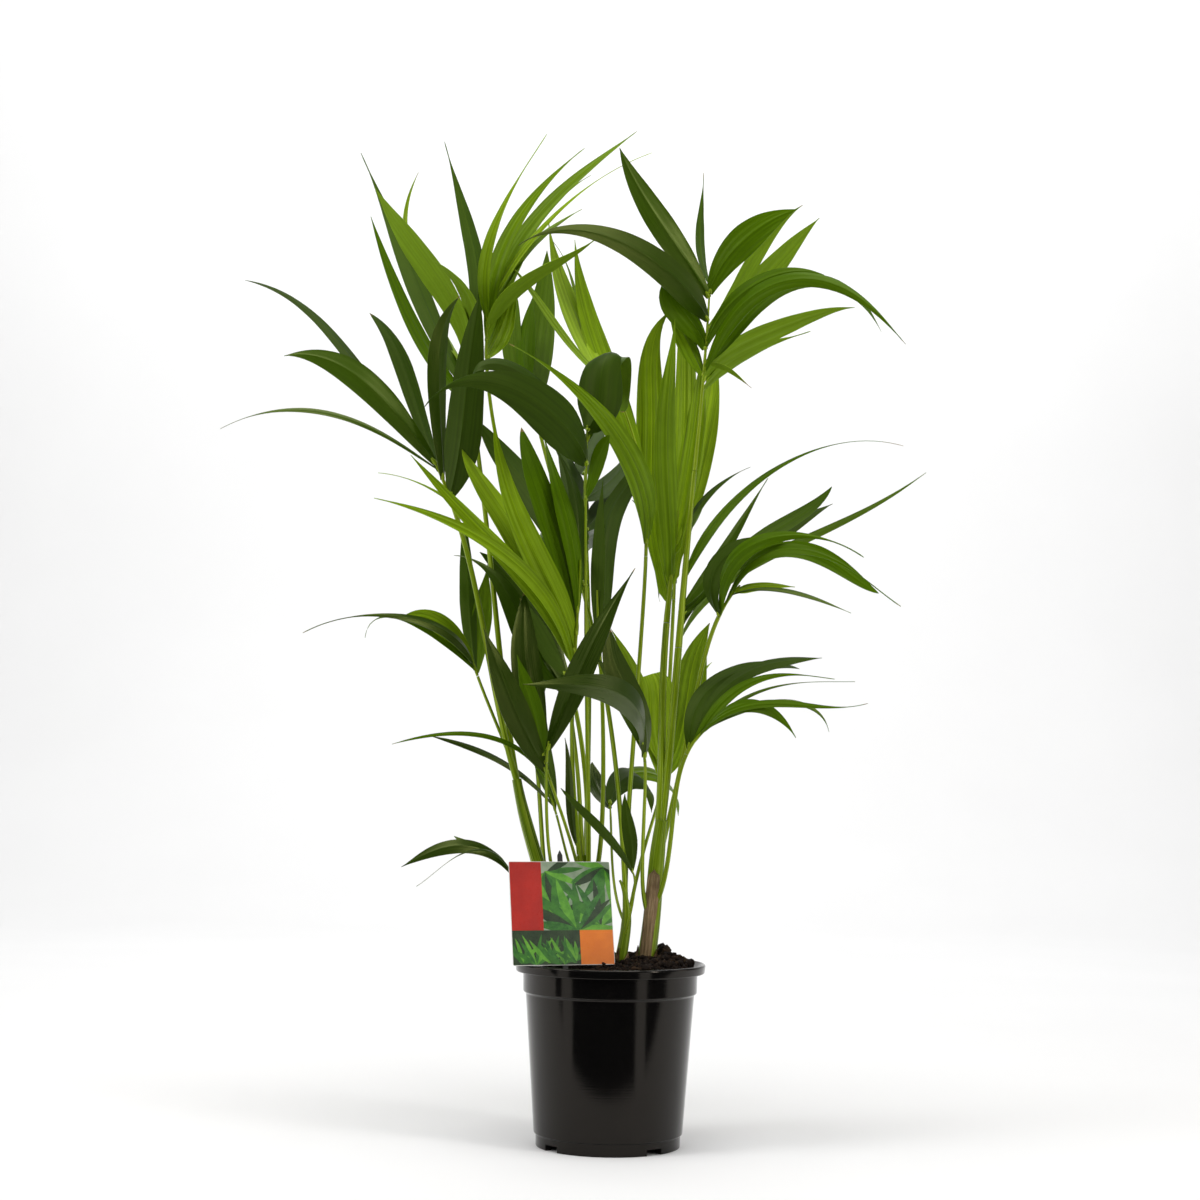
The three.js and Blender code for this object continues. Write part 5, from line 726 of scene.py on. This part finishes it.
# ------------------------------------------------------------------ stems
def sheath(build, line, radius, z0, z1, middle, half, power, material, seed, lift=1.0):
    """A papery torn husk: part of a tube around a stem, pointed and ragged at its top."""
    r = np.random.default_rng(seed)
    p, _, _ = line
    rows, columns = 30, 18
    height = z1 - z0
    out, back = [], []
    for i in range(rows + 1):
        t = i / rows
        z = z0 + height * t
        c = np.array([np.interp(z, p[:, 2], p[:, 0]), np.interp(z, p[:, 2], p[:, 1])])
        span = half * radius(z0) / radius(z) * (1 - 0.9 * t ** power) * (1 + 0.10 * math.sin(9 * t + seed)) + 1
        off = lift * 0.5 + 0.4 * math.sin(7 * t + seed) ** 2 + 0.9 * t * t
        for j in range(columns + 1):
            x = 2 * j / columns - 1
            a = math.radians(middle + span * x + 4 * math.sin(5 * t + seed))
            ripple = 0.35 * math.cos(11 * x + 3 * t) + 0.9 * abs(x) ** 4 * (0.4 + r.random() * 0.5)
            zz = z + (r.random() - 0.5) * 1.6 * (0 < i < rows) - 3.0 * x * x * t
            for ring, extra in ((out, 0.45), (back, 0.0)):
                q = radius(z) + off + ripple + extra
                ring.append((c[0] + q * math.cos(a), c[1] + q * math.sin(a), zz))
    count = len(out)
    span = columns + 1
    faces = []
    for i in range(rows):
        for j in range(columns):
            q = i * span + j
            faces += [(q, q + 1, q + span + 1, q + span), (q + count, q + span + count, q + span + 1 + count, q + 1 + count)]
        q = i * span
        faces += [(q, q + span, q + span + count, q + count)]
        q += columns
        faces += [(q, q + count, q + span + count, q + span)]
    for j in range(columns):
        faces += [(j, j + count, j + 1 + count, j + 1)]
        q = rows * span + j
        faces += [(q, q + 1, q + 1 + count, q + count)]
    verts = np.array(out + back)
    grid = np.array([[(j / columns) * 2.4, i / rows * height / 10] for i in range(rows + 1) for j in range(columns + 1)])
    build.add(verts, faces, material, np.vstack([grid, grid]) + seed, np.vstack([grid, grid]) * 0.1)


# husks left on the stems: lower and upper height, direction it faces, half its span, bluntness, material
HUSKS = {
    "stem_right": [(178, 273, 255, 33, 60.0, "sheath_brown"), (178, 197, 196, 30, 1.6, "fibre"), (178, 194, 318, 26, 1.6, "fibre")],
    "stem_centre_right": [(178, 196, 236, 34, 1.2, "fibre"), (178, 191, 320, 30, 1.8, "sheath_brown")],
    "stem_middle": [(181, 206, 250, 46, 1.7, "sheath_brown"), (181, 196, 180, 36, 1.7, "fibre")],
    "stem_left": [(181, 202, 290, 48, 1.7, "fibre"), (181, 195, 210, 36, 1.7, "sheath_brown")],
}
for k, s in enumerate(STEMS):
    build = Build(s["name"] + "_stalks", [stem_green, stalk_green, sheath_brown, fibre])
    line = limb([*s["foot"], STEM_CUT], s["azimuth"], s["rise"], s["length"], s["droop"], s["sweep"], 24)
    u = np.linspace(0, 1, 30)
    p, _, _ = along(line, u)
    r = s["radius"][0] * (1 - u) + s["radius"][1] * u
    slim = s["radius"][1] < 4.5
    end = np.clip((u - (0.5 if slim else 0.72)) / (0.5 if slim else 0.28), 0, 1)
    r = r * (1 - (0.68 if slim else 0.16) * end * end * (3 - 2 * end))
    tube(build, p, r, 24, "stem_green", seed=50 + k, flute=0.02)
    for i, (z0, z1, middle, half, power, material) in enumerate(HUSKS[s["name"]]):
        sheath(build, line, lambda z: s["radius"][0] + (s["radius"][1] - s["radius"][0]) * (z - STEM_CUT) / s["length"],
               z0, z1, middle, half, power, material, 7 * k + i)
    for i, f in enumerate([f for f in FRONDS if f["stem"] == s["name"]]):
        stop = f["blade"] - JOINT_GAP / f["length"]
        u = np.linspace(0, 1, 40)
        p, _, _ = along(STALKS[f["name"]], u * stop)
        r = f["radius"][0] * (1 - u) + f["radius"][1] * u
        tube(build, p, r, 14, "stalk_green", seed=60 + 7 * k + i, flute=0.015)
    ob = build.finish()
    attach(ob, "root")
    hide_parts(s["name"])

# ------------------------------------------------------------------ pot
def rounded(profile):
    """Profile points (radius, height, corner rounding) with each corner turned into an arc."""
    out = []
    for i, (x, z, c) in enumerate(profile):
        p = np.array((x, z), float)
        if c <= 0 or i in (0, len(profile) - 1):
            out.append(p)
            continue
        a = np.array(profile[i - 1][:2], float) - p
        b = np.array(profile[i + 1][:2], float) - p
        c = min(c, 0.45 * np.linalg.norm(a), 0.45 * np.linalg.norm(b))
        pa, pb = p + unit(a) * c, p + unit(b) * c
        for t in np.linspace(0, 1, 6):
            out.append((1 - t) ** 2 * pa + 2 * t * (1 - t) * p + t ** 2 * pb)
    return np.array(out)


def turned(name, profile, segments, materials, wave=None):
    """A lathe of a profile that starts and ends on the axis, closed."""
    v = [(0.0, 0.0, profile[0][1])]
    for x, z in profile[1:-1]:
        for j in range(segments):
            a = 2 * math.pi * j / segments
            q = (x * math.cos(a), x * math.sin(a), z)
            v.append(wave(*q) if wave else q)
    v.append((0.0, 0.0, profile[-1][1]))
    f = []
    rows = len(profile) - 2
    for j in range(segments):
        f.append((0, 1 + (j + 1) % segments, 1 + j))
    for i in range(rows - 1):
        for j in range(segments):
            a, b = 1 + i * segments + j, 1 + i * segments + (j + 1) % segments
            f.append((a, b, b + segments, a + segments))
    last = 1 + (rows - 1) * segments
    for j in range(segments):
        f.append((last + j, last + (j + 1) % segments, len(v) - 1))
    build = Build(name, materials)
    build.add(v, f, materials[0].name)
    return build


def plastic():
    g = Graph("pot_plastic")
    spot = g.object()
    drift = g.noise(spot, 7.0, 3.0)
    grain = g.noise(spot, 900.0, 2.0)
    dust = g.noise(g.scaled(spot, (1.0, 1.0, 0.4)), 38.0, 5.0, 0.7)
    scuff = g.noise(g.scaled(spot, (18.0, 18.0, 60.0)), 1.2, 5.0, 0.75, 1.4)
    rings = g.noise(g.scaled(spot, (2.0, 2.0, 900.0)), 1.0, 2.0)
    colour = g.mix(g.range(drift, 0.3, 0.7, 0.0, 1.0), srgb(9, 9, 9), srgb(14, 13, 13))
    colour = g.mix(g.range(dust, 0.60, 0.85, 0.0, 0.10), colour, srgb(70, 64, 56))
    colour = g.mix(g.range(scuff, 0.73, 0.80, 0.0, 0.14), colour, srgb(96, 92, 86))
    rough = g.math("ADD", g.range(drift, 0.3, 0.7, 0.10, 0.14), g.range(dust, 0.5, 0.85, 0.0, 0.08))
    g.set(Base_Color=colour, Roughness=rough, IOR=1.5, Specular_IOR_Level=0.27, Specular_Tint=(1.0, 0.91, 0.80, 1.0))
    g.bump(g.math("ADD", g.math("MULTIPLY", grain, 0.25), g.math("MULTIPLY", rings, 0.5)), 0.25, 0.0004)
    return g.material


pot_plastic = plastic()
pot_profile = rounded([
    (0, 0, 0), (40, 0, 1), (43, 4, 1), (62.6, 4, 1), (64.6, 0, 0.6), (71.6, 0, 1.0), (71.8, 12, 0.8), (73.8, 13, 0.8),
    (84, 149, 1.2), (86.6, 151, 1.0), (87, 170.5, 1.0), (94, 170.5, 1.4), (95, 178.5, 1.6), (93, 180, 1.6),
    (85, 171.5, 2.0), (85, 151, 1.5), (82, 148, 1.5), (71.8, 16, 2.0), (68.8, 7, 2.0), (0, 7, 0)])
pot = turned("pot_shell", pot_profile, 160, [pot_plastic]).finish(35)
cutters = []
for degrees in (-141, -51, 39, 129):
    me = bpy.data.meshes.new("notch")
    x, y0, y1, z = 9.0, -80.0, -58.0, 6.0
    corners = [(sx * x, y, sz * z) for sx in (-1, 1) for y in (y0, y1) for sz in (-1, 1)]
    c, s = math.cos(math.radians(degrees)), math.sin(math.radians(degrees))
    me.from_pydata([((c * px - s * py) * MM, (s * px + c * py) * MM, pz * MM) for px, py, pz in corners], [],
                   [(0, 1, 3, 2), (4, 6, 7, 5), (0, 4, 5, 1), (2, 3, 7, 6), (0, 2, 6, 4), (1, 5, 7, 3)])
    cutter = bpy.data.objects.new("notch", me)
    bpy.context.scene.collection.objects.link(cutter)
    cutters.append(cutter)
    m = pot.modifiers.new("notch", "BOOLEAN")
    m.operation = "DIFFERENCE"
    m.solver = "EXACT"
    m.object = cutter
bpy.context.view_layer.update()
made = bpy.data.meshes.new_from_object(pot.evaluated_get(bpy.context.evaluated_depsgraph_get()))
pot.modifiers.clear()
pot.data = made
pot.data.set_sharp_from_angle(angle=math.radians(35))
for cutter in cutters:
    bpy.data.objects.remove(cutter)
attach(pot, "root")
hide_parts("pot")


# ------------------------------------------------------------------ soil
def soil_material(name, dark, mid, pale):
    g = Graph(name)
    spot = g.object()
    lump = g.noise(spot, 130.0, 6.0, 0.7)
    bits = g.noise(spot, 700.0, 3.0, 0.6)
    colour = g.ramp(lump, [(0.32, dark), (0.52, mid), (0.74, pale)])
    colour = g.mix(g.range(bits, 0.62, 0.72, 0.0, 0.5), colour, srgb(84, 63, 42))
    g.set(Base_Color=colour, Roughness=g.range(lump, 0.3, 0.7, 0.82, 0.98), Specular_IOR_Level=0.15)
    g.bump(g.math("ADD", lump, g.math("MULTIPLY", bits, 0.5)), 0.9, 0.0016)
    return g.material


soil_dark = soil_material("soil_dark", srgb(12, 8, 6), srgb(25, 17, 12), srgb(46, 34, 24))
soil_brown = soil_material("soil_brown", srgb(22, 15, 10), srgb(42, 30, 20), srgb(74, 56, 38))


def soil_height(x, y):
    r = math.hypot(x, y)
    a = math.atan2(y, x)
    edge = max(0.0, min(1.0, (r - 58) / 26))
    level = SOIL_LEVEL + 2.0 - 8.5 * edge ** 1.3
    level += 1.5 * math.sin(0.11 * x + 1.2) * math.cos(0.13 * y - 0.7) + 1.1 * math.sin(0.31 * x - 0.2 * y + 2.1)
    level += 0.6 * math.sin(0.83 * x + 0.41 * y) * math.sin(0.57 * y + 1.1)
    front = min(1.0, max(0.0, (-y - 22) / 26)) * min(1.0, max(0.0, (34 - x) / 22))
    level -= 5.0 * front * front * (3 - 2 * front)
    level += (2.6 if x > 20 and y > -20 else 0.0) * (1 - edge) * min(1.0, max(0.0, (x - 20) / 20))
    return min(level, 191.0)


soil_rings = [(0.0, 7.5), (66, 7.5), (71.0, 16), (81.4, 148), (84.4, 151), (84.4, 170.0)]
inner = [(r, None) for r in np.linspace(83.6, 1.5, 46)]


def soil_wave(x, y, z):
    if z < 500:
        return (x, y, z)
    return (x, y, soil_height(x, y))


soil = turned("soil_bed", [*soil_rings, *[(r, 999.0) for r, _ in inner], (0.0, soil_height(0, 0))], 120, [soil_dark], soil_wave).finish(180)
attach(soil, "root")
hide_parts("soil")


def ico():
    t = (1 + 5 ** 0.5) / 2
    v = unit(np.array([(-1, t, 0), (1, t, 0), (-1, -t, 0), (1, -t, 0), (0, -1, t), (0, 1, t), (0, -1, -t), (0, 1, -t),
                       (t, 0, -1), (t, 0, 1), (-t, 0, -1), (-t, 0, 1)], float))
    f = [(0, 11, 5), (0, 5, 1), (0, 1, 7), (0, 7, 10), (0, 10, 11), (1, 5, 9), (5, 11, 4), (11, 10, 2), (10, 7, 6), (7, 1, 8),
         (3, 9, 4), (3, 4, 2), (3, 2, 6), (3, 6, 8), (3, 8, 9), (4, 9, 5), (2, 4, 11), (6, 2, 10), (8, 6, 7), (9, 8, 1)]
    return v, f


def finer(v, f):
    v = [tuple(q) for q in v]
    seen, out = {}, []
    def middle(a, b):
        key = (min(a, b), max(a, b))
        if key not in seen:
            m = np.array(v[a]) + np.array(v[b])
            v.append(tuple(m / np.linalg.norm(m)))
            seen[key] = len(v) - 1
        return seen[key]
    for a, b, c in f:
        ab, bc, ca = middle(a, b), middle(b, c), middle(c, a)
        out += [(a, ab, ca), (b, bc, ab), (c, ca, bc), (ab, bc, ca)]
    return np.array(v), out


small = ico()
large = finer(*small)
crumbs = Build("soil_crumbs", [soil_dark, soil_brown])
rng = np.random.default_rng(11)


def crumb(x, y, size, sink=0.25, big=False):
    if x < 12 and y < -48 and size > 1.0:      # the card's foot stays clear
        size *= 0.5
    v, f = large if big else small
    q = v * (1 + rng.uniform(-0.28, 0.28, (len(v), 1)))
    q = q * size * rng.uniform(0.65, 1.25, 3)
    turn = Matrix.Rotation(rng.uniform(0, 6.3), 3, Vector(rng.normal(size=3)).normalized())
    q = q @ np.array(turn)
    q = q + np.array((x, y, soil_height(x, y) + size * (0.5 - sink)))
    crumbs.add(q, f, "soil_brown" if rng.random() < 0.35 else "soil_dark", q[:, :2] / 10, q[:, :2] / 100)


for _ in range(2600):
    a, r = rng.uniform(0, 2 * math.pi), 81 * math.sqrt(rng.random())
    crumb(r * math.cos(a), r * math.sin(a), rng.uniform(0.7, 2.0))
for _ in range(420):
    a, r = rng.uniform(0, 2 * math.pi), 79 * math.sqrt(rng.random())
    crumb(r * math.cos(a), r * math.sin(a), rng.uniform(2.0, 3.6), big=True)
for cx, cy, spread, size, count in ((55, 16, 2.4, 6.6, 9), (77, 6, 2.6, 5.4, 9), (60, 12, 7, 4.4, 12), (66, 8, 9, 3.4, 22), (24, 20, 10, 3.4, 14), (-40, 30, 14, 3.4, 14)):
    for _ in range(count):
        x, y = cx + rng.normal() * spread, cy + rng.normal() * spread
        if math.hypot(x, y) < 80:
            crumb(x, y, size * rng.uniform(0.6, 1.1), sink=-0.1, big=True)
ob = crumbs.finish(60)
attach(ob, "root")

# ------------------------------------------------------------------ label card
CARD_FOOT, CARD_YAW, CARD_LEAN, CARD_SIZE, CARD_TALL = (-45.2, -58.0, 180.8), 20.0, 12.0, 105.0, 101.5
card_turn = Matrix.Rotation(math.radians(CARD_YAW), 3, "Z") @ Matrix.Rotation(math.radians(-CARD_LEAN), 3, "X")


def on_card(x, z, y=0.0):
    """A point of the card: x and z from its lower left corner, y in front of its middle."""
    return np.array(CARD_FOOT) + np.array(card_turn @ Vector((x - CARD_SIZE / 2, -y, z)))


def print_material(name, a, b, scale=60.0, gloss=0.3):
    g = Graph(name)
    spot = g.object()
    tint = g.noise(spot, scale, 3.0)
    fine = g.noise(spot, 1400.0, 2.0)
    g.set(Base_Color=g.mix(g.range(tint, 0.35, 0.65, 0.0, 1.0), a, b), Roughness=g.range(fine, 0.3, 0.7, gloss - 0.04, gloss + 0.08))
    g.bump(fine, 0.15, 0.0001)
    return g.material


card_white = print_material("card_white", srgb(228, 228, 222), srgb(214, 214, 206))
card_red = print_material("card_red", srgb(180, 30, 14), srgb(166, 24, 10))
card_orange = print_material("card_orange", srgb(236, 128, 22), srgb(226, 116, 18))
card_field = print_material("card_field", srgb(120, 140, 112), srgb(150, 164, 140), 90.0)
card_shade = print_material("card_shade", srgb(44, 66, 34), srgb(30, 50, 26), 120.0)
card_leaf = print_material("card_leaf", srgb(62, 124, 36), srgb(40, 96, 26), 120.0)
card_bright = print_material("card_bright", srgb(104, 168, 48), srgb(76, 140, 34), 120.0)
card_fresh = print_material("card_fresh", srgb(30, 84, 26), srgb(58, 122, 40), 160.0)
CARD = [card_white, card_red, card_orange, card_field, card_shade, card_leaf, card_bright, card_fresh]
card = Build("card_sheet", CARD)


def slab(build, outline_points, y0, y1, material):
    """A closed thin slab of the card's plane between two depths."""
    n = len(outline_points)
    v = [on_card(x, z, y1) for x, z in outline_points] + [on_card(x, z, y0) for x, z in outline_points]
    f = [tuple(range(n)), tuple(range(2 * n - 1, n - 1, -1))]
    f += [(i + n, (i + 1) % n + n, (i + 1) % n, i) for i in range(n)]
    build.add(v, f, material)


def box_points(x0, z0, x1, z1, c=0.0):
    if not c:
        return [(x0, z0), (x1, z0), (x1, z1), (x0, z1)]
    out = []
    for cx, cz, a in ((x1 - c, z0 + c, -90), (x1 - c, z1 - c, 0), (x0 + c, z1 - c, 90), (x0 + c, z0 + c, 180)):
        out += [(cx + c * math.cos(math.radians(a + t)), cz + c * math.sin(math.radians(a + t))) for t in (0, 30, 60, 90)]
    return out


slab(card, box_points(0, 0, CARD_SIZE, CARD_TALL, 2.0), -0.4, 0.36, "card_white")
PANELS = [(0.5, 34, 33, 101, "card_red"), (33, 34, 104.5, 101, "card_field"),
          (0.5, 0.5, 70, 34, "card_shade"), (70, 0.5, 104.5, 34, "card_orange")]
for x0, z0, x1, z1, kind in PANELS:
    slab(card, box_points(x0, z0, x1, z1), 0.34, 0.40, kind)


def leaf_shape(x, z, turn, length, width, bend=0.0, n=12):
    """A pointed oval from its foot, bent sideways."""
    a = math.radians(turn)
    left, right = [], []
    for i in range(n + 1):
        t = i / n
        w = width * (math.sin(math.pi * t) ** 0.8) / 2 * (1 - 0.25 * t)
        b = bend * t * t
        px, pz = t * length, b
        left.append((px, pz + w))
        right.append((px, pz - w))
    ring = right + left[::-1][1:-1]
    return [(x + px * math.cos(a) - pz * math.sin(a), z + px * math.sin(a) + pz * math.cos(a)) for px, pz in ring]


def clipped(points, x0, z0, x1, z1):
    """A convex window applied to a polygon."""
    for axis, limit, keep in ((0, x0, 1), (0, x1, -1), (1, z0, 1), (1, z1, -1)):
        out = []
        for i, p in enumerate(points):
            q = points[(i + 1) % len(points)]
            pin, qin = keep * (p[axis] - limit) >= 0, keep * (q[axis] - limit) >= 0
            if pin:
                out.append(p)
            if pin != qin:
                t = (limit - p[axis]) / (q[axis] - p[axis])
                out.append((p[0] + t * (q[0] - p[0]), p[1] + t * (q[1] - p[1])))
        points = out
        if len(points) < 3:
            return []
    return points


PICTURE, STRIP = (33, 34, 104.5, 101), (0.5, 0.5, 70, 34)
rng = np.random.default_rng(5)
depth = 0.40
for x, z, base, count, length, width, window in (
        (38, 92, 300, 9, 44, 9, PICTURE), (98, 96, 236, 9, 46, 9, PICTURE), (44, 40, 60, 9, 50, 11, PICTURE),
        (92, 38, 118, 9, 50, 10, PICTURE), (68, 34, 90, 11, 56, 10, PICTURE), (10, 2, 78, 6, 27, 5.5, STRIP),
        (24, 0, 92, 6, 30, 5.5, STRIP), (38, 2, 84, 7, 28, 6, STRIP), (52, 0, 98, 6, 30, 5.5, STRIP), (64, 2, 104, 6, 26, 5.5, STRIP)):
    for i in range(count):
        turn = base + (i - (count - 1) / 2) * 21 + rng.uniform(-7, 7)
        shape = leaf_shape(x + rng.uniform(-2, 2), z, turn, length * rng.uniform(0.75, 1.1), width * rng.uniform(0.7, 1.1), rng.uniform(-7, 7))
        shape = clipped(shape, *window)
        if len(shape) > 2:
            kind = ("card_leaf", "card_bright", "card_leaf", "card_shade" if z > 30 else "card_bright", "card_fresh")[i % 5]
            slab(card, shape, depth - 0.02, depth + 0.012, kind)
            depth += 0.0012
ob = card.finish(30)
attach(ob, "root")
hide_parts("label_card")


def stake_material():
    g = Graph("stake_plastic")
    spot = g.object()
    tint = g.noise(spot, 60.0, 3.0)
    g.set(Base_Color=g.mix(g.range(tint, 0.3, 0.7, 0.0, 1.0), srgb(26, 26, 25), srgb(40, 38, 35)), Roughness=g.range(tint, 0.3, 0.7, 0.38, 0.55))
    g.bump(tint, 0.2, 0.0003)
    return g.material


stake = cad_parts["label_stake"]
stake.data.materials.clear()
stake.data.materials.append(stake_material())

# ------------------------------------------------------------------ stage
def floor_material():
    g = Graph("floor_paper")
    spot = g.object()
    tint = g.noise(spot, 1.5, 2.0)
    g.set(Base_Color=g.mix(g.range(tint, 0.3, 0.7, 0.0, 1.0), (0.86, 0.86, 0.86), (0.88, 0.88, 0.88)), Roughness=0.9, Specular_IOR_Level=0.1)
    return g.material


profile = [(-6.0, 0.0), (3.0, 0.0)] + [(3.0 + 1.5 * math.sin(t), 1.5 * (1 - math.cos(t))) for t in np.linspace(0.1, math.pi / 2, 14)] + [(4.5, 9.0)]
me = bpy.data.meshes.new("backdrop")
v = [(x, y, z) for y, z in profile for x in (-9.0, 9.0)]
me.from_pydata(v, [], [(2 * i, 2 * i + 1, 2 * i + 3, 2 * i + 2) for i in range(len(profile) - 1)])
me.materials.append(floor_material())
me.polygons.foreach_set("use_smooth", np.ones(len(me.polygons), bool))
backdrop = bpy.data.objects.new("backdrop", me)
bpy.context.scene.collection.objects.link(backdrop)


def flag_material():
    g = Graph("black_cloth")
    tint = g.noise(g.object(), 3.0, 2.0)
    g.set(Base_Color=g.mix(g.range(tint, 0.3, 0.7, 0.0, 1.0), (0.010, 0.010, 0.010), (0.014, 0.013, 0.012)), Roughness=0.95, Specular_IOR_Level=0.0)
    return g.material


def wedge(a, b, near=0.21, far=2.6):
    """The floor beyond a straight edge in front of the pot, between two directions from it in degrees."""
    out = []
    for d in (a, b):
        x, y = math.sin(math.radians(d)), math.cos(math.radians(d))
        out += [(x * near / y, -near), (x * far, -y * far)]
    return [out[0], out[2], out[3], out[1]]


# black cloth on the studio floor in front, seen only as a dark reflection in the glossy plastic
me = bpy.data.meshes.new("flags")
v = [(x, y, 0.003) for a, b in ((-74, -64), (-49, 33), (47, 79)) for x, y in wedge(a, b)]
me.from_pydata(v, [], [(0, 1, 2, 3), (4, 5, 6, 7), (8, 9, 10, 11)])
me.materials.append(flag_material())
flags = bpy.data.objects.new("flags", me)
bpy.context.scene.collection.objects.link(flags)
flags.visible_camera = flags.visible_diffuse = flags.visible_shadow = flags.visible_transmission = False

world = bpy.data.worlds.new("studio")
bpy.context.scene.world = world
world.use_nodes = True
world.node_tree.nodes["Background"].inputs[0].default_value = (1.0, 1.0, 1.0, 1.0)
world.node_tree.nodes["Background"].inputs[1].default_value = 0.10


def lamp(name, place, target, size, power, colour=(1, 1, 1)):
    data = bpy.data.lights.new(name, "AREA")
    data.shape = "RECTANGLE"
    data.size, data.size_y = size
    data.energy = power
    data.color = colour
    ob = bpy.data.objects.new(name, data)
    bpy.context.scene.collection.objects.link(ob)
    ob.location = place
    ob.rotation_euler = (Vector(target) - Vector(place)).to_track_quat("-Z", "Y").to_euler()
    return ob


lamp("top", (0.0, -0.7, 3.2), (0, 0, 0.6), (2.6, 1.8), 68)
lamp("left", (-2.7, -1.3, 2.1), (0, 0, 0.6), (1.2, 2.0), 40)
lamp("right", (2.5, -1.7, 1.8), (0, 0, 0.5), (0.6, 1.9), 24)
lamp("wash", (0.0, 2.0, 3.6), (0, 4.4, 1.2), (6.0, 1.5), 126)
# low upright boxes beside the pot, mirrored in its flanks
for side, place, size, power in (("left", (-1.7, 0.05, 0.62), (0.75, 1.2), 4.6), ("right", (1.7, 0.16, 0.62), (0.45, 1.2), 1.8),
                                 ("front", (1.38, -1.02, 0.5), (0.16, 0.95), 3.4)):
    low = lamp("low_" + side, place, (0, 0, place[2]), size, power, (1.0, 0.92, 0.82))
    low.visible_camera = False

# ------------------------------------------------------------------ camera
PITCH, ROLL = math.atan2(186, 2125), 0.0164
ahead = Vector((0, math.cos(PITCH), math.sin(PITCH)))
above = Vector((0, -math.sin(PITCH), math.cos(PITCH)))
right = Vector((1, 0, 0)) * math.cos(ROLL) + above * math.sin(ROLL)
upward = above * math.cos(ROLL) - Vector((1, 0, 0)) * math.sin(ROLL)
data = bpy.data.cameras.new("camera")
data.lens = 63.75
data.sensor_width = 36.0
data.sensor_fit = "HORIZONTAL"
data.clip_end = 60
camera = bpy.data.objects.new("camera", data)
bpy.context.scene.collection.objects.link(camera)
at = Vector((-16.4, -2148.0, 355.0)) * MM
camera.matrix_world = Matrix(((right.x, upward.x, -ahead.x, at.x), (right.y, upward.y, -ahead.y, at.y),
                              (right.z, upward.z, -ahead.z, at.z), (0, 0, 0, 1)))
bpy.context.scene.camera = camera
bpy.context.scene.view_settings.view_transform = "Standard"

bpy.context.view_layer.update()
